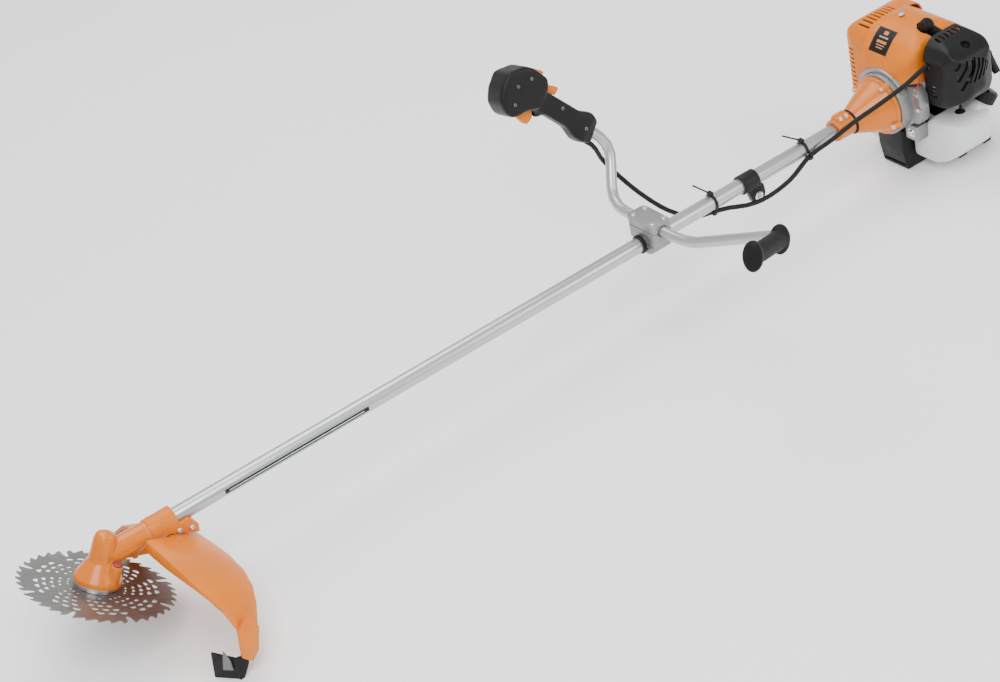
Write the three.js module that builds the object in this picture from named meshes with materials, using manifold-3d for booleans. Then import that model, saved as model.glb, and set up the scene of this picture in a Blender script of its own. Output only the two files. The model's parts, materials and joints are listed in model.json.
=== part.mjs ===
// Petrol brush cutter with a saw blade, a two-hand handlebar and a recoil-start engine.
// Units are millimetres. +X runs up the shaft from the blade to the engine, +Y is the operator's
// right-hand side and +Z is up. The origin is on the ground, in the middle of the engine stand's foot.
// Inside `machine` every piece is placed on the shaft line: there x = 0 is where the bare tube leaves
// the guard's collar, and y = z = 0 is the axis of the tube, the drive shaft and the crankshaft.
import * as THREE from 'three';
import { mergeVertices } from 'three/addons/utils/BufferGeometryUtils.js';
import Module from 'manifold-3d';

const wasm = await Module();
wasm.setup();

// ---- driving dimensions ----------------------------------------------------------------------
const GAP = 0.3;                       // clearance between pieces that touch
const GROUND_Z = -153;                 // ground below the shaft line
const STAND_X = 1604;                  // middle of the engine stand's foot

const TUBE_R = 14;                     // 28 mm shaft tube
const TUBE_BORE_R = 12.5;
const TUBE_START_X = -90;
const TUBE_END_X = 1462;
const DRIVE_R = 4;                     // solid drive shaft

const BLADE_R = 127.5;                 // 255 mm saw blade
const BLADE_T = 1.4;
const BLADE_TEETH = 40;
const TEETH_PER_GROUP = 5;
const ARBOR_R = 6;
const HEAD_TILT = THREE.MathUtils.degToRad(28.2);
const BLADE_CENTRE = new THREE.Vector3(-155, 0, -42);
const SHAFT_CROSSES_H = 47.65;         // where the drive axis meets the arbor axis, above the blade
const SHAFT_CROSSES_X = -132.5;        // the same point along the shaft
const PINION_TEETH = 14;
const RING_TEETH = 19;
const CONE_DISTANCE = 24;              // bevel gears, from the apex to the large end of the teeth

const CLAMP_X = 994;                   // handlebar clamp
const BAR_Z = 28;
const BAR_R = 10;
const HANGER_X = 1216;
const TIE_X = [1133, 1350];
const CABLE_R = 4.5;
const CABLE_AT_TIE = [[-1, -19.4], [-17.6, -7.9]];

const CRANK_THROW = 17;
const ROD_LENGTH = 58;
const BORE_R = 20;
const CRANK_X = 1624;                  // middle of the cylinder and of the crank pin
const COVER_WALL = 3;
const STARTER_CENTRE_Z = -7;
const PULL = new THREE.Vector3(0, -0.62, 0.7846);
const ROPE_EXIT = new THREE.Vector3(1737, -54, 2);

const GRIP_BASE = new THREE.Vector3(1013.4, 161.6, 150.5);
const GRIP_AXIS = new THREE.Vector3(-0.628, 0.17, 0.7594).normalize();
const LEFT_GRIP_INNER = new THREE.Vector3(1010, -343, 129);
const LEFT_GRIP_OUTER = new THREE.Vector3(895, -415, 186);
const FILLER_BASE = new THREE.Vector3(1684, -108, -36);
const FILLER_AXIS = new THREE.Vector3(0.55, -0.18, 0.81).normalize();

// ---- finishes --------------------------------------------------------------------------------
const finish = (color, roughness, metalness) =>
  new THREE.MeshStandardMaterial({ color, roughness, metalness });
const orange = finish(0xe8650f, 0.35, 0);
const orangePaint = finish(0xe4600c, 0.25, 0.1);
const black = finish(0x1b1b1c, 0.5, 0);
const rubber = finish(0x161616, 0.85, 0);
const castGrey = finish(0x8f9092, 0.55, 0.7);
const satinTube = finish(0xc9cacc, 0.35, 0.9);
const steel = finish(0xa5a6a8, 0.3, 1);
const darkSteel = finish(0x55565a, 0.45, 0.9);
const tankWhite = finish(0xe9ebec, 0.45, 0);
const blue = finish(0x2430a8, 0.4, 0);
const redPlug = finish(0x8e1f16, 0.5, 0);
const filterFoam = finish(0x3a3d33, 0.95, 0);
const rose = finish(0xd99aa0, 0.5, 0);

// ---- geometry helpers ------------------------------------------------------------------------
const at = (x, y, z) => new THREE.Vector3(x, y, z);

// One closed body: shared corners are merged and the faces point out.
function closed(geometry) {
  const bare = new THREE.BufferGeometry();
  bare.setAttribute('position', geometry.getAttribute('position'));
  bare.setIndex(geometry.index);
  const welded = mergeVertices(bare, 1e-3);
  const points = welded.getAttribute('position');
  const source = welded.index.array;
  const corners = [];
  let volume = 0;
  const [a, b, c] = [at(0, 0, 0), at(0, 0, 0), at(0, 0, 0)];
  for (let i = 0; i < source.length; i += 3) {
    const [p, q, r] = [source[i], source[i + 1], source[i + 2]];
    if (p === q || q === r || r === p) continue;
    a.fromBufferAttribute(points, p);
    b.fromBufferAttribute(points, q);
    c.fromBufferAttribute(points, r);
    volume += a.dot(b.cross(c));
    corners.push(p, q, r);
  }
  if (volume < 0) corners.reverse();
  welded.setIndex(corners);
  return welded;
}

function toSolid(geometry) {
  const body = closed(geometry);
  return new wasm.Manifold(new wasm.Mesh({
    numProp: 3,
    vertProperties: new Float32Array(body.getAttribute('position').array),
    triVerts: new Uint32Array(body.index.array),
  }));
}

function fromSolid(solid) {
  const mesh = solid.getMesh();
  const geometry = new THREE.BufferGeometry();
  geometry.setAttribute('position', new THREE.BufferAttribute(mesh.vertProperties, 3));
  geometry.setIndex(new THREE.BufferAttribute(mesh.triVerts, 1));
  return geometry;
}

const join = (first, ...rest) =>
  fromSolid(rest.reduce((sum, piece) => sum.add(toSolid(piece)), toSolid(first)));
const cut = (first, ...tools) =>
  fromSolid(tools.reduce((left, tool) => left.subtract(toSolid(tool)), toSolid(first)));
const overlap = (first, second) => fromSolid(toSolid(first).intersect(toSolid(second)));

// A block between two opposite corners.
function block(x0, x1, y0, y1, z0, z1) {
  const geometry = new THREE.BoxGeometry(x1 - x0, y1 - y0, z1 - z0);
  return geometry.translate((x0 + x1) / 2, (y0 + y1) / 2, (z0 + z1) / 2);
}

// A round bar between two points.
function bar(from, to, radius, sides = 20, endRadius = radius) {
  const along = to.clone().sub(from);
  const geometry = new THREE.CylinderGeometry(endRadius, radius, along.length(), sides);
  geometry.translate(0, along.length() / 2, 0);
  const turn = new THREE.Quaternion().setFromUnitVectors(at(0, 1, 0), along.normalize());
  return geometry.applyQuaternion(turn).translate(from.x, from.y, from.z);
}

// A body turned about the X axis or the Z axis from a profile of [along, radius] pairs.
function turned(profile, sides, axis) {
  const points = profile.map(([along, radius]) => new THREE.Vector2(radius, along));
  const geometry = new THREE.LatheGeometry(points, sides);
  return axis === 'x' ? geometry.rotateZ(-Math.PI / 2) : geometry.rotateX(Math.PI / 2);
}

function ring(from, to, inner, outer, sides, axis) {
  return turned([[from, inner], [from, outer], [to, outer], [to, inner], [from, inner]], sides, axis);
}

const outline = (points) => new THREE.Shape(points.map(([x, y]) => new THREE.Vector2(x, y)));

// An outline drawn in the XZ plane, given a thickness along Y.
function sidePlate(points, y0, y1) {
  const geometry = new THREE.ExtrudeGeometry(outline(points), { depth: y1 - y0, bevelEnabled: false });
  return geometry.rotateX(Math.PI / 2).translate(0, y1, 0);
}

// An outline drawn in the YZ plane, given a thickness along X.
function frontPlate(points, x0, x1) {
  const geometry = new THREE.ExtrudeGeometry(outline(points), { depth: x1 - x0, bevelEnabled: false });
  return geometry.rotateX(Math.PI / 2).rotateZ(Math.PI / 2).translate(x0, 0, 0);
}

// An outline drawn in the XY plane, given a thickness along Z.
function flatPlate(points, z0, z1) {
  const geometry = new THREE.ExtrudeGeometry(outline(points), { depth: z1 - z0, bevelEnabled: false });
  return geometry.translate(0, 0, z0);
}

// The same outline moved inward by a wall thickness.
function inset(points, wall) {
  const count = points.length;
  const area = points.reduce((sum, [x, y], i) => {
    const [nx, ny] = points[(i + 1) % count];
    return sum + x * ny - nx * y;
  }, 0);
  const side = Math.sign(area) * wall;
  const edges = points.map(([x, y], i) => {
    const [nx, ny] = points[(i + 1) % count];
    const length = Math.hypot(nx - x, ny - y);
    const [dx, dy] = [(nx - x) / length, (ny - y) / length];
    return { x: x - dy * side, y: y + dx * side, dx, dy };
  });
  return edges.map((edge, i) => {
    const last = edges[(i + count - 1) % count];
    const cross = last.dx * edge.dy - last.dy * edge.dx;
    const t = ((edge.x - last.x) * edge.dy - (edge.y - last.y) * edge.dx) / cross;
    return [last.x + last.dx * t, last.y + last.dy * t];
  });
}

// A rounded rectangle as a list of points.
function roundedRectangle(x0, x1, y0, y1, radius, steps = 4) {
  const centres = [[x1 - radius, y0 + radius], [x1 - radius, y1 - radius],
    [x0 + radius, y1 - radius], [x0 + radius, y0 + radius]];
  return centres.flatMap(([cx, cy], quarter) =>
    Array.from({ length: steps + 1 }, (_, i) => {
      const angle = (quarter - 1 + i / steps) * Math.PI / 2;
      return [cx + radius * Math.cos(angle), cy + radius * Math.sin(angle)];
    }));
}

// A round tube or rod along a smooth curve.
function sweep(curve, radius, steps, sides) {
  const section = new THREE.Shape();
  section.absarc(0, 0, radius, 0, Math.PI * 2);
  return new THREE.ExtrudeGeometry(section, { extrudePath: curve, steps, curveSegments: sides / 2 });
}

// A bent bar: straight runs between the corners, with each corner rounded by its own bend.
function bentPath(corners, bends, every) {
  const points = [corners[0].clone()];
  for (let i = 1; i < corners.length - 1; i += 1) {
    const back = corners[i - 1].clone().sub(corners[i]);
    const ahead = corners[i + 1].clone().sub(corners[i]);
    const start = corners[i].clone().add(back.setLength(bends[i - 1]));
    const end = corners[i].clone().add(ahead.setLength(bends[i - 1]));
    const arc = new THREE.QuadraticBezierCurve3(start, corners[i], end);
    points.push(...arc.getPoints(4));
  }
  points.push(corners.at(-1).clone());
  const filled = [points[0]];
  for (let i = 1; i < points.length; i += 1) {
    const pieces = Math.max(1, Math.round(points[i].distanceTo(points[i - 1]) / every));
    for (let k = 1; k <= pieces; k += 1) {
      filled.push(points[i - 1].clone().lerp(points[i], k / pieces));
    }
  }
  return new THREE.CatmullRomCurve3(filled, false, 'centripetal');
}

// A shell of even thickness from a grid of points on its upper surface.
function sheet(grid, thickness) {
  const rows = grid.length;
  const columns = grid[0].length;
  const index = (i, j, side) => (i * columns + j) * 2 + side;
  const positions = [];
  for (let i = 0; i < rows; i += 1) {
    for (let j = 0; j < columns; j += 1) {
      const alongRow = grid[i][Math.min(j + 1, columns - 1)].clone().sub(grid[i][Math.max(j - 1, 0)]);
      const alongColumn = grid[Math.min(i + 1, rows - 1)][j].clone().sub(grid[Math.max(i - 1, 0)][j]);
      const inward = alongRow.cross(alongColumn).setLength(thickness);
      positions.push(...grid[i][j].toArray(), ...grid[i][j].clone().add(inward).toArray());
    }
  }
  const faces = [];
  const quad = (a, b, c, d) => faces.push(a, b, c, a, c, d);
  for (let i = 0; i < rows - 1; i += 1) {
    for (let j = 0; j < columns - 1; j += 1) {
      quad(index(i, j, 0), index(i + 1, j, 0), index(i + 1, j + 1, 0), index(i, j + 1, 0));
      quad(index(i, j, 1), index(i, j + 1, 1), index(i + 1, j + 1, 1), index(i + 1, j, 1));
    }
  }
  for (let j = 0; j < columns - 1; j += 1) {
    quad(index(0, j, 0), index(0, j + 1, 0), index(0, j + 1, 1), index(0, j, 1));
    quad(index(rows - 1, j, 0), index(rows - 1, j, 1), index(rows - 1, j + 1, 1), index(rows - 1, j + 1, 0));
  }
  for (let i = 0; i < rows - 1; i += 1) {
    quad(index(i, 0, 0), index(i, 0, 1), index(i + 1, 0, 1), index(i + 1, 0, 0));
    quad(index(i, columns - 1, 0), index(i + 1, columns - 1, 0), index(i + 1, columns - 1, 1),
      index(i, columns - 1, 1));
  }
  const geometry = new THREE.BufferGeometry();
  geometry.setAttribute('position', new THREE.BufferAttribute(new Float32Array(positions), 3));
  geometry.setIndex(faces);
  return geometry;
}

function add(parent, name, geometry, material) {
  const mesh = new THREE.Mesh(closed(geometry), material);
  mesh.name = name;
  parent.add(mesh);
}

// ---- cutting head ------------------------------------------------------------------------------
// The head's own frame: u runs back along the blade, v is +Y, and h is the height above the blade.

function bladeShape() {
  const pitch = Math.PI * 2 / BLADE_TEETH;
  const points = [];
  for (let tooth = 0; tooth < BLADE_TEETH; tooth += 1) {
    const start = tooth * pitch;
    const gullet = tooth % TEETH_PER_GROUP === 0 ? 11 : 5;
    for (const [turn, depth] of [[0, gullet], [0.12, 0], [0.72, 2.2]]) {
      const radius = BLADE_R - depth;
      points.push([radius * Math.cos(start + turn * pitch), radius * Math.sin(start + turn * pitch)]);
    }
  }
  const shape = outline(points);
  const bore = new THREE.Path();
  bore.absarc(0, 0, 12.7, 0, Math.PI * 2, true);
  shape.holes.push(bore);
  const geometry = new THREE.ExtrudeGeometry(shape, { depth: BLADE_T, bevelEnabled: false, curveSegments: 16 });
  return geometry.translate(0, 0, -BLADE_T / 2);
}

// Straight bevel teeth. The large end is at the start, and everything but the bore shrinks towards
// the apex. The gear stands on its own axis with the apex at the origin.
function bevelGear(teeth, coneAngle, boreR, hubLength, phase) {
  const largeR = CONE_DISTANCE * Math.sin(coneAngle);
  const apexHeight = CONE_DISTANCE * Math.cos(coneAngle);
  const module = 2 * largeR / teeth;
  const faceWidth = 8;
  const [top, root] = [largeR + 0.5 * module, largeR - 1.05 * module];
  const points = [];
  for (let tooth = 0; tooth < teeth; tooth += 1) {
    for (const [part, radius] of [[-0.28, root], [-0.12, top], [0.12, top], [0.28, root]]) {
      const angle = (tooth + part) * Math.PI * 2 / teeth + phase;
      points.push([radius * Math.cos(angle), radius * Math.sin(angle)]);
    }
  }
  const shape = outline(points);
  const bore = new THREE.Path();
  bore.absarc(0, 0, boreR, 0, Math.PI * 2, true);
  shape.holes.push(bore);
  const depth = faceWidth * Math.cos(coneAngle);
  const teethBody = new THREE.ExtrudeGeometry(shape, { depth, bevelEnabled: false, curveSegments: 8 });
  const position = teethBody.getAttribute('position');
  for (let i = 0; i < position.count; i += 1) {
    const [x, y, z] = [position.getX(i), position.getY(i), position.getZ(i)];
    const shrink = Math.hypot(x, y) > boreR + 0.5 ? 1 - z / apexHeight : 1;
    position.setXYZ(i, x * shrink, y * shrink, z - apexHeight);
  }
  const hub = ring(-apexHeight - hubLength, -apexHeight + 0.5, boreR, root - 0.6, 16, 'z');
  return join(teethBody, hub);
}

const shaftInHead = (s) =>
  at(s * Math.cos(HEAD_TILT), 0, SHAFT_CROSSES_H + s * Math.sin(HEAD_TILT));
const alongGrease = (s) => at(5, -20, 30).addScaledVector(at(0.25, -0.5, 0.83), s);
const headToShaft = (u, h) => [
  BLADE_CENTRE.x + u * Math.cos(HEAD_TILT) + h * Math.sin(HEAD_TILT),
  BLADE_CENTRE.z - u * Math.sin(HEAD_TILT) + h * Math.cos(HEAD_TILT),
];

function gearCase() {
  const bell = turned([[10, 0], [10, 35], [17, 35], [21, 33], [37, 25.5], [48, 21.5], [60, 20],
    [82, 18.6], [92, 15], [98, 0]], 24, 'z');
  const socket = bar(shaftInHead(6), shaftInHead(80), 20, 24);
  const neckLug = bar(shaftInHead(58).add(at(6, -8, -24)), shaftInHead(58).add(at(6, 8, -24)), 6, 12);
  const lugWeb = bar(shaftInHead(58), shaftInHead(58).add(at(6, 0, -24)), 6, 12);
  const greaseBoss = bar(alongGrease(0), alongGrease(24), 9, 14);
  const bearingRoom = turned([[5, 0], [5, 26], [13, 26], [13, 16.3], [84.5, 16.3], [84.5, 0]], 24, 'z');
  const driveRoom = bar(shaftInHead(0), shaftInHead(43), 12.5, 20);
  const tubeRoom = bar(shaftInHead(TUBE_START_X - SHAFT_CROSSES_X - GAP), shaftInHead(82), TUBE_R + GAP, 24);
  const plugHole = bar(alongGrease(15), alongGrease(30), 5.3, 12);
  return cut(join(bell, socket, lugWeb, neckLug, greaseBoss), bearingRoom, driveRoom, tubeRoom, plugHole);
}

const greasePlug = () =>
  join(bar(alongGrease(16), alongGrease(25), 5, 12), bar(alongGrease(24.3), alongGrease(31), 7, 6));

// Stations of the guard from the operator's right to the left: v, the depth of the front lip, then
// u and h of its front edge, of its rear edge and of the bottom of its rear wall.
const GUARD_STATIONS = [
  [96, 3, 74, 28, 108, 14, 112, -6],
  [78, 5, 64, 52, 128, 42, 134, 8],
  [52, 8, 60, 76, 144, 68, 151, 26],
  [24, 12, 58, 84, 154, 80, 162, 34],
  [-10, 16, 58, 86, 162, 84, 170, 38],
  [-50, 17, 58, 86, 168, 84, 177, 38],
  [-95, 16, 58, 86, 173, 83, 182, 34],
  [-140, 12, 58, 85, 172, 80, 181, 26],
  [-180, 8, 60, 83, 166, 72, 174, 12],
  [-210, 6, 68, 77, 158, 57, 165, 0],
  [-232, 4, 84, 62, 150, 40, 156, -8],
  [-246, 3, 108, 34, 143, 18, 149, -14],
];
const GUARD_POST = [[124, -13], [144, -20], [150, 0], [142, 40], [120, 62], [106, 34]];
const GUARD_THICKNESS = 3;

function guardShell() {
  const grid = GUARD_STATIONS.map(([v, lip, frontU, frontH, rearU, rearH, footU, footH]) => {
    const front = at(frontU, v, frontH);
    const rear = at(rearU, v, rearH);
    const foot = at(footU, v, footH);
    const roof = [0, 0.25, 0.5, 0.75].map((t) => front.clone().lerp(rear, t).add(at(0, 0, 5 * t * (1 - t) * 4)));
    const wall = [0.25, 0.6, 1].map((t) => rear.clone().lerp(foot, t).add(at(2 * (1 - t), 0, 0)));
    return [at(frontU + 1, v, frontH - lip), ...roof, rear, ...wall];
  });
  const socketNotch = block(20, 104, -26, 26, 60, 130);
  const collarNotch = block(90, 129.5, -17.5, 17.5, 60, 130);
  const post = sidePlate(GUARD_POST, -250, -243.5);
  return cut(join(sheet(grid, GUARD_THICKNESS), post), socketNotch, collarNotch);
}

function guardBracket() {
  const collar = bar(at(-48, 0, 0), at(0, 0, 0), 21, 28);
  const onRoof = [headToShaft(158, 92), headToShaft(98, 92)];
  const foot = sidePlate([[-34, -2], [18, -2], [30, -20], ...onRoof], -22, 22);
  return cut(join(collar, foot), bar(at(-60, 0, 0), at(60, 0, 0), TUBE_R + GAP, 28));
}

// The flap under the guard's left post stands on the ground and carries the line knife. It is drawn
// along its own run, which starts at its inner corner.
const FLAP_START = at(-88, -205, 0);
const FLAP_ALONG = at(0.6, -0.8, 0);

function alongFlap(points, y0, y1) {
  const across = at(-FLAP_ALONG.y, FLAP_ALONG.x, 0);
  const basis = new THREE.Matrix4().makeBasis(FLAP_ALONG, across, at(0, 0, 1));
  return sidePlate(points, y0, y1).applyMatrix4(basis).translate(...FLAP_START.toArray());
}

function guardSkirt() {
  const plate = alongFlap([[0, GROUND_Z], [44, GROUND_Z], [45, -110], [7, -102]], -1.6, 1.6);
  const tab = sidePlate([[-64, GROUND_Z], [-56, GROUND_Z], [-42, -132], [-40, -116], [-64, -110]], -243.1, -239.5);
  return join(plate, tab);
}

const lineKnife = () => alongFlap([[20, -134], [38, -134], [38, -112], [30, -95], [25, -112]], -3.6, -1.9);

function buildHead(machine) {
  const head = new THREE.Group();
  head.position.copy(BLADE_CENTRE);
  head.rotation.y = HEAD_TILT;
  machine.add(head);
  add(head, 'blade', bladeShape(), steel);
  add(head, 'upper_flange', turned([[-0.6, ARBOR_R + GAP], [-0.6, 12.4], [1, 12.4], [1, 34], [8.6, 34], [8.6, ARBOR_R + GAP],
    [-0.6, ARBOR_R + GAP]], 28, 'z'), steel);
  add(head, 'lower_flange', ring(-4.6, -1, ARBOR_R + GAP, 27, 24, 'z'), steel);
  add(head, 'blade_nut', cut(bar(at(0, 0, -15), at(0, 0, -5), 11, 6), bar(at(0, 0, -20), at(0, 0, 0), ARBOR_R + GAP, 16)), steel);
  add(head, 'output_shaft', bar(at(0, 0, -19), at(0, 0, 84), ARBOR_R, 16), darkSteel);
  add(head, 'arbor_bearing', ring(14, 25, ARBOR_R + GAP, 16, 20, 'z'), steel);
  const shaftAngle = Math.PI / 2 - HEAD_TILT;
  const pinionCone = Math.atan2(Math.sin(shaftAngle), RING_TEETH / PINION_TEETH + Math.cos(shaftAngle));
  const ringGear = bevelGear(RING_TEETH, shaftAngle - pinionCone, ARBOR_R + GAP, 4, Math.PI / RING_TEETH);
  add(head, 'ring_gear', ringGear.rotateX(Math.PI).translate(0, 0, SHAFT_CROSSES_H), darkSteel);
  const pinion = bevelGear(PINION_TEETH, pinionCone, DRIVE_R + GAP, 8, 0);
  pinion.rotateX(Math.PI).rotateY(shaftAngle).translate(0, 0, SHAFT_CROSSES_H);
  add(head, 'pinion_gear', pinion, darkSteel);
  add(head, 'gear_case', gearCase(), orangePaint);
  add(head, 'grease_plug', greasePlug(), redPlug);
  add(head, 'guard', guardShell(), orange);
  add(machine, 'guard_bracket', guardBracket(), orange);
  add(machine, 'guard_skirt', guardSkirt(), black);
  add(machine, 'line_knife', lineKnife(), steel);
}

// ---- shaft ---------------------------------------------------------------------------------------
function buildShaft(machine) {
  add(machine, 'shaft_tube', ring(TUBE_START_X, TUBE_END_X, TUBE_BORE_R, TUBE_R, 28, 'x'), satinTube);
  add(machine, 'drive_shaft', bar(at(SHAFT_CROSSES_X + 13, 0, 0), at(1508, 0, 0), DRIVE_R, 12), darkSteel);
  add(machine, 'shaft_bush', ring(780, 810, DRIVE_R + GAP, TUBE_BORE_R - GAP, 16, 'x'), black);
}

// ---- handlebar, grips and controls ---------------------------------------------------------------
const clampBody = (z0, z1, rounding) =>
  flatPlate(roundedRectangle(CLAMP_X - 21, CLAMP_X + 21, -38, 38, rounding, 3), z0, z1);

function buildClamp(machine) {
  const tubeBore = bar(at(CLAMP_X - 40, 0, 0), at(CLAMP_X + 40, 0, 0), TUBE_R + GAP, 28);
  const barBore = bar(at(CLAMP_X, -60, BAR_Z), at(CLAMP_X, 60, BAR_Z), BAR_R + GAP, 20);
  const lowerOutline = [[-30, -0.2], [-30, -9], [-18, -19], [-8, -22.5], [8, -22.5], [18, -19], [30, -9], [30, -0.2]];
  const lower = frontPlate(lowerOutline, CLAMP_X - 19, CLAMP_X + 19);
  add(machine, 'handle_clamp_lower', cut(lower, tubeBore), castGrey);
  add(machine, 'handle_clamp_middle', cut(clampBody(0.2, BAR_Z - 0.2, 8), tubeBore, barBore), castGrey);
  add(machine, 'handle_clamp_top', cut(clampBody(BAR_Z + 0.2, 44, 9), barBore), castGrey);
}

function handlebarPath() {
  const rightEnd = GRIP_BASE.clone().addScaledVector(GRIP_AXIS, 116);
  const rightBend = GRIP_BASE.clone().addScaledVector(GRIP_AXIS, -50.5);
  const leftAxis = LEFT_GRIP_OUTER.clone().sub(LEFT_GRIP_INNER).normalize();
  const leftEnd = LEFT_GRIP_OUTER.clone().addScaledVector(leftAxis, -12);
  const leftBend = LEFT_GRIP_INNER.clone().addScaledVector(leftAxis, -34);
  return bentPath([rightEnd, rightBend, at(CLAMP_X, 105, BAR_Z), at(CLAMP_X, 62, BAR_Z),
    at(CLAMP_X, -70, BAR_Z), at(CLAMP_X + 4, -112, BAR_Z + 4), leftBend, leftEnd], [31, 34, 6, 18, 18, 18], 60);
}

function leftGrip() {
  const length = LEFT_GRIP_OUTER.distanceTo(LEFT_GRIP_INNER);
  const profile = [[0, BAR_R + 0.6], [0, 17], [2, 20], [8, 21], [14, 17], [26, 15], [length - 26, 15], [length - 14, 18],
    [length - 7, 22], [length - 2, 20], [length, 14], [length, 0], [length - 10, 0], [length - 10, BAR_R + 0.6],
    [0, BAR_R + 0.6]];
  const geometry = turned(profile, 20, 'z');
  const turn = new THREE.Quaternion().setFromUnitVectors(at(0, 0, 1),
    LEFT_GRIP_OUTER.clone().sub(LEFT_GRIP_INNER).normalize());
  return geometry.applyQuaternion(turn).translate(...LEFT_GRIP_INNER.toArray());
}

// The throttle grip's own frame: x towards the finger side, y to the operator's left, z up the grip.
const GRIP_HANDLE = [[-21, 1], [2, -2], [20, -5], [29, 13], [28, 31], [19, 53], [19, 112], [24, 126], [18, 142],
  [-18, 142], [-19, 65], [-19, 43], [-28, 21]];
const GRIP_HEAD = [[18, 128], [24, 140], [34, 152], [48, 161], [56, 172], [55, 186], [45, 204], [22, 215], [-8, 218],
  [-20, 206], [-34, 192], [-39, 174], [-37, 140], [-30, 134], [-18, 128]];
const TRIGGER_GUARD = [[17, 106], [30, 114], [31, 120], [24, 128], [17, 128]];

function gripSolid() {
  const handle = sidePlate(GRIP_HANDLE, -16, 16);
  const collar = sidePlate([[-23, 12], [28, 12], [28, 30], [-25, 30]], -20.5, 20.5);
  const head = sidePlate(GRIP_HEAD, -30, 30);
  const nub = sidePlate(TRIGGER_GUARD, -9, 9);
  const barRoom = bar(at(0, 0, -30), at(0, 0, 118), BAR_R + 0.6, 20);
  const triggerRoom = sidePlate([[8, 124], [17, 110], [22, 120], [60, 106], [60, 164], [20, 166], [8, 152]], -5.6, 5.6);
  const lockoutRoom = block(-60, -12.5, -5.4, 5.4, 94, 135);
  const switchRoom = block(-60, -34, -32, 5, 139, 160);
  const cableRoom = bar(at(20, 0, -16), at(20, 0, 3), CABLE_R + 1.5, 12);
  return cut(join(handle, collar, head, nub), barRoom, triggerRoom, lockoutRoom, switchRoom, cableRoom);
}

function buildControls(machine) {
  const grip = new THREE.Group();
  const fingerSide = at(-1, 0, 0).addScaledVector(GRIP_AXIS, GRIP_AXIS.x).normalize();
  const basis = new THREE.Matrix4().makeBasis(fingerSide, GRIP_AXIS.clone().cross(fingerSide), GRIP_AXIS);
  grip.position.copy(GRIP_BASE);
  grip.quaternion.setFromRotationMatrix(basis);
  machine.add(grip);
  const whole = gripSolid();
  add(grip, 'throttle_grip_left', cut(whole, block(-90, 90, -90, 0.15, -90, 260)), black);
  add(grip, 'throttle_grip_right', cut(whole, block(-90, 90, -0.15, 90, -90, 260)), black);
  const trigger = sidePlate([[18, 136], [22, 150], [30, 156], [44, 160], [47, 150], [50, 134], [48, 127], [42, 125],
    [33, 124], [24, 130]], -5, 5);
  add(grip, 'throttle_trigger', trigger, orange);
  const lockout = sidePlate([[-13.5, 131], [-22, 133], [-28, 131], [-36, 104], [-33, 99], [-21, 101]], -4.8, 4.8);
  add(grip, 'lockout_lever', lockout, orange);
  const slider = join(block(-46, -38.6, -31, 4, 141, 151), block(-39, -34.4, -20, -2, 141, 151));
  add(grip, 'stop_switch', slider, orange);
}

// The throttle cable, from the grip to the carburettor. It is tied to the shaft twice.
const CABLE_ROUTE = [
  [997.2, 159.1, 139], [1009.1, 155.8, 124.5], [1021, 162, 102], [1034, 171, 76], [1051, 150, 38], [1067, 110, 5],
  [1084, 60, -17], [1106, 18, -23], [TIE_X[0], ...CABLE_AT_TIE[0]], [1160, -10, -22], [1190, -22, -28],
  [1222, -28, -31], [1258, -28, -30], [1296, -26, -24], [TIE_X[1], ...CABLE_AT_TIE[1]], [1396, -25, 4],
  [1446, -38, 24], [1500, -58, 46], [1546, -76, 68], [1575, -83, 83], [1603, -86, 90],
];

function cableTie(x, [cableY, cableZ], tailTowards) {
  const [x0, x1] = [x - 2.2, x + 2.2];
  const cableDirection = Math.atan2(cableZ, cableY);
  const web = block(x0, x1, 2, 18.5, -4, 4).rotateX(cableDirection);
  const aroundTube = bar(at(x0, 0, 0), at(x1, 0, 0), TUBE_R + 2.2, 28);
  const aroundCable = bar(at(x0, cableY, cableZ), at(x1, cableY, cableZ), CABLE_R + 3.4, 12);
  const lock = block(x - 4, x + 4, -3, 7, 15.4, 21);
  const tail = bar(at(x - 1, 2, 19), at(x - 1, 2, 19).add(tailTowards), 1.6, 6);
  const tubeBore = bar(at(x - 9, 0, 0), at(x + 9, 0, 0), TUBE_R + GAP, 28);
  const cableBore = bar(at(x - 9, cableY, cableZ), at(x + 9, cableY, cableZ), CABLE_R + 2, 12);
  return cut(join(aroundTube, aroundCable, web, lock, tail), tubeBore, cableBore);
}

function harnessHanger() {
  const band = bar(at(HANGER_X - 17, 0, 0), at(HANGER_X + 17, 0, 0), 18, 28);
  const plate = sidePlate([[HANGER_X - 10, -12], [HANGER_X + 26, -12], [HANGER_X + 28, -30], [HANGER_X + 22, -44],
    [HANGER_X + 8, -47], [HANGER_X - 2, -38]], -13, -3);
  const eye = bar(at(HANGER_X + 12, -40, -31), at(HANGER_X + 12, 20, -31), 6, 16);
  const bore = bar(at(HANGER_X - 40, 0, 0), at(HANGER_X + 40, 0, 0), TUBE_R + GAP, 28);
  return cut(join(band, plate), eye, bore);
}

function buildHandles(machine) {
  buildClamp(machine);
  add(machine, 'handlebar', sweep(handlebarPath(), BAR_R, 44, 12), satinTube);
  add(machine, 'left_grip', leftGrip(), rubber);
  buildControls(machine);
  const route = new THREE.CatmullRomCurve3(CABLE_ROUTE.map((p) => at(...p)), false, 'centripetal');
  add(machine, 'throttle_cable', sweep(route, CABLE_R, 50, 8), rubber);
  const tails = [at(-30, 4, 30), at(-34, 6, 24)];
  TIE_X.forEach((x, i) => add(machine, `cable_tie_${i + 1}`, cableTie(x, CABLE_AT_TIE[i], tails[i]), black));
  add(machine, 'harness_hanger', harnessHanger(), black);
}

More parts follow.
